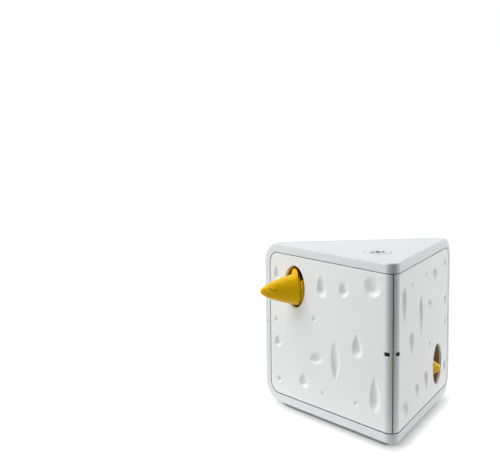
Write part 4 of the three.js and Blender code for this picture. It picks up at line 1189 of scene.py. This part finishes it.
class CATTOY_OT_stage(Operator):
    """Set the floor, the studio light, the white surroundings and the camera"""

    bl_idname = "cat_toy.stage"
    bl_label = "Stage"

    def execute(self, context):
        self.floor()
        self.surroundings()
        self.lamps()
        self.camera()
        bpy.context.scene.view_settings.view_transform = "Standard"
        return {"FINISHED"}

    @staticmethod
    def seen_directly(tree):
        """One where a camera, glossy or see-through ray arrives, and zero for light that bounces."""
        path = add(tree, "ShaderNodeLightPath", {}).outputs
        seen = path["Is Camera Ray"]
        for ray in ("Is Glossy Ray", "Is Transmission Ray"):
            seen = calculated(tree, "MAXIMUM", seen, path[ray])
        return seen

    def floor(self):
        """White paper that glows: where it is seen it is white, with a painted shadow round the toy and a
        painted dark line under it, and for light that bounces it glows only near the toy, as painted bounce
        light."""
        half = 6
        points = [Vector((x, y, 0)) for x, y in ((-half, -half), (half, -half), (half, half), (-half, half))]
        floor = new_piece("floor", points, [(0, 1, 2, 3)], None, None, moved=False)
        material = bpy.data.materials.new("floor_white")
        material.use_nodes = True
        tree = material.node_tree
        tree.nodes.clear()
        place = add(tree, "ShaderNodeTexCoord", {}).outputs["Object"]
        seen = self.seen_directly(tree)
        # How roundly the painted shadow and the painted dark line go past the front and the back corners
        painted_shadow_rounding, painted_line_rounding = (0.035, 0.08), (0.008, 0.04)
        # How much further the painted shadow reaches on the right, the side away from the main lamp
        painted_shadow_lee = 0.009
        beyond = self.beyond_toy(tree, place, *painted_shadow_rounding, painted_shadow_lee)
        # Painted shadow: the glow that the camera sees is dimmed near the toy
        painted_shadow = mapped(tree, beyond, (-0.009, 0.016), (0.1, 1))
        under = self.beyond_toy(tree, place, *painted_line_rounding, 0)
        # A painted dark line under the toy's edge
        line = mapped(tree, under, (-0.0068, -0.0042), (0, 1))
        # Painted bounce light: for light that bounces, the floor glows only near the toy
        painted_bounce_light = mapped(tree, beyond, (0, 0.1), (0.5, 0), "SMOOTHSTEP")
        strength = mapped(tree, seen, (0, 1), (painted_bounce_light, calculated(tree, "MULTIPLY", painted_shadow, line)))
        # The paper looks darker to the camera than to light that bounces
        paper = add(tree, "ShaderNodeBsdfDiffuse", {"Color": mapped(tree, seen, (0, 1), (0.5, 0.3))})
        glow_and_painted_shadow = add(tree, "ShaderNodeEmission", {"Color": (1, 1, 1, 1), "Strength": strength})
        total = add(tree, "ShaderNodeAddShader", {0: paper.outputs["BSDF"], 1: glow_and_painted_shadow.outputs["Emission"]})
        add(tree, "ShaderNodeOutputMaterial", {"Surface": total.outputs["Shader"]})
        paint(floor, material)

    @staticmethod
    def beyond_toy(tree, place, front_rounding, back_rounding, painted_shadow_lee):
        """How far a place on the floor lies outside the toy's underside, widened on the right, where the
        painted shadow reaches further.
        """
        sizes = toy_sizes()
        corner = front_corner()
        # The round back edge is off the floor for this share of its radius
        lifted = 0.8
        back = corner.y + sizes.side * math.cos(HALF_CORNER) - lifted * sizes.back_edge
        sides = (
            (-INWARD, -INWARD.y * corner.y, None),
            (Vector((INWARD.x, -INWARD.y, 0)), painted_shadow_lee - INWARD.y * corner.y, front_rounding),
            (Vector((0, 1, 0)), back, back_rounding),
        )
        farthest = None
        for outward, edge, rounding in sides:
            along = add(tree, "ShaderNodeVectorMath", {0: place, 1: outward}, operation="DOT_PRODUCT")
            outside = calculated(tree, "SUBTRACT", along.outputs["Value"], edge)
            if farthest is None:
                farthest = outside
            else:
                farthest = calculated(tree, "SMOOTH_MAX", farthest, outside, rounding)
        return farthest

    def surroundings(self):
        """White where they are seen. The light that they give is softer and comes from behind the toy."""
        world = bpy.data.worlds.new("studio")
        bpy.context.scene.world = world
        world.use_nodes = True
        tree = world.node_tree
        tree.nodes.clear()
        place = add(tree, "ShaderNodeTexCoord", {}).outputs["Generated"]
        depth = add(tree, "ShaderNodeSeparateXYZ", {"Vector": place}).outputs["Y"]
        strength = mapped(tree, depth, (-0.4, 0.3), (0, 0.38), "SMOOTHSTEP")
        soft = add(tree, "ShaderNodeBackground", {"Color": (0.74, 0.82, 0.83, 1), "Strength": strength})
        white = add(tree, "ShaderNodeBackground", {"Color": (1, 1, 1, 1), "Strength": 1})
        choice = add(tree, "ShaderNodeMixShader", {"Fac": self.seen_directly(tree),
                                                   1: soft.outputs["Background"],
                                                   2: white.outputs["Background"]})
        add(tree, "ShaderNodeOutputWorld", {"Surface": choice.outputs["Shader"]})

    @staticmethod
    def lamps():
        target = Vector((0, 0, 0.1))
        for name, place, width, tall, power in (
            ("left_softbox", (-1.4, 0.25, 1.2), 1.2, 2.2, 39.5),
            ("right_softbox", (1.4, 0.15, 0.85), 1.2, 1.6, 19),
            ("overhead_softbox", (0, 0.5, 1.9), 1.2, 1.2, 3),
        ):
            lamp = bpy.data.lights.new(name, "AREA")
            lamp.shape = "RECTANGLE"
            lamp.size, lamp.size_y = width, tall
            lamp.energy = power
            holder = in_scene(name, lamp)
            holder.location = place
            holder.rotation_euler = (target - Vector(place)).to_track_quat("-Z", "Y").to_euler()

    @staticmethod
    def camera():
        """The lens and place that were fitted to the housing's edges in the photograph."""
        place = (-0.24182, -1.17750, 0.38640)
        yaw, pitch, roll = (math.radians(a) for a in (4.9988, 7.770, -0.7435))
        lens = bpy.data.cameras.new("camera")
        lens.sensor_width = 36
        lens.lens = 74.37
        lens.clip_start, lens.clip_end = 0.05, 50
        ahead = Vector((math.sin(yaw) * math.cos(pitch), math.cos(yaw) * math.cos(pitch), -math.sin(pitch)))
        right = Vector((math.cos(yaw), -math.sin(yaw), 0))
        above = right.cross(ahead)
        across = right * math.cos(roll) + above * math.sin(roll)
        above = above * math.cos(roll) - right * math.sin(roll)
        turn = Matrix((across, above, -ahead)).transposed()
        holder = in_scene("camera", lens)
        holder.matrix_world = Matrix.Translation(place) @ turn.to_4x4()
        bpy.context.scene.camera = holder


class CATTOY_PT_panel(Panel):
    """Sizes, colours and builders of the cat toy"""

    bl_idname = "CATTOY_PT_panel"
    bl_label = "Cheese cat toy"
    bl_space_type = "VIEW_3D"
    bl_region_type = "UI"
    bl_category = "Cat Toy"

    def draw(self, context):
        layout = self.layout
        for builder in BUILDERS:
            layout.operator(builder.bl_idname)
        for group in (context.scene.cat_toy_sizes, context.scene.cat_toy_colours):
            box = layout.box()
            for name in group.bl_rna.properties.keys():
                if name not in ("rna_type", "name"):
                    box.prop(group, name)


BUILDERS = (
    CATTOY_OT_housing,
    CATTOY_OT_panels,
    CATTOY_OT_liners,
    CATTOY_OT_mice,
    CATTOY_OT_button,
    CATTOY_OT_underside,
    CATTOY_OT_workings,
    CATTOY_OT_stage,
)
CLASSES = (ToySizes, ToyColours, *BUILDERS, CATTOY_PT_panel)


def register():
    for cls in CLASSES:
        bpy.utils.register_class(cls)
    bpy.types.Scene.cat_toy_sizes = PointerProperty(type=ToySizes)
    bpy.types.Scene.cat_toy_colours = PointerProperty(type=ToyColours)


def unregister():
    del bpy.types.Scene.cat_toy_colours
    del bpy.types.Scene.cat_toy_sizes
    for cls in reversed(CLASSES):
        bpy.utils.unregister_class(cls)


def main():
    register()
    for builder in BUILDERS:
        group, name = builder.bl_idname.split(".")
        getattr(getattr(bpy.ops, group), name)()


if __name__ == "__main__":
    main()
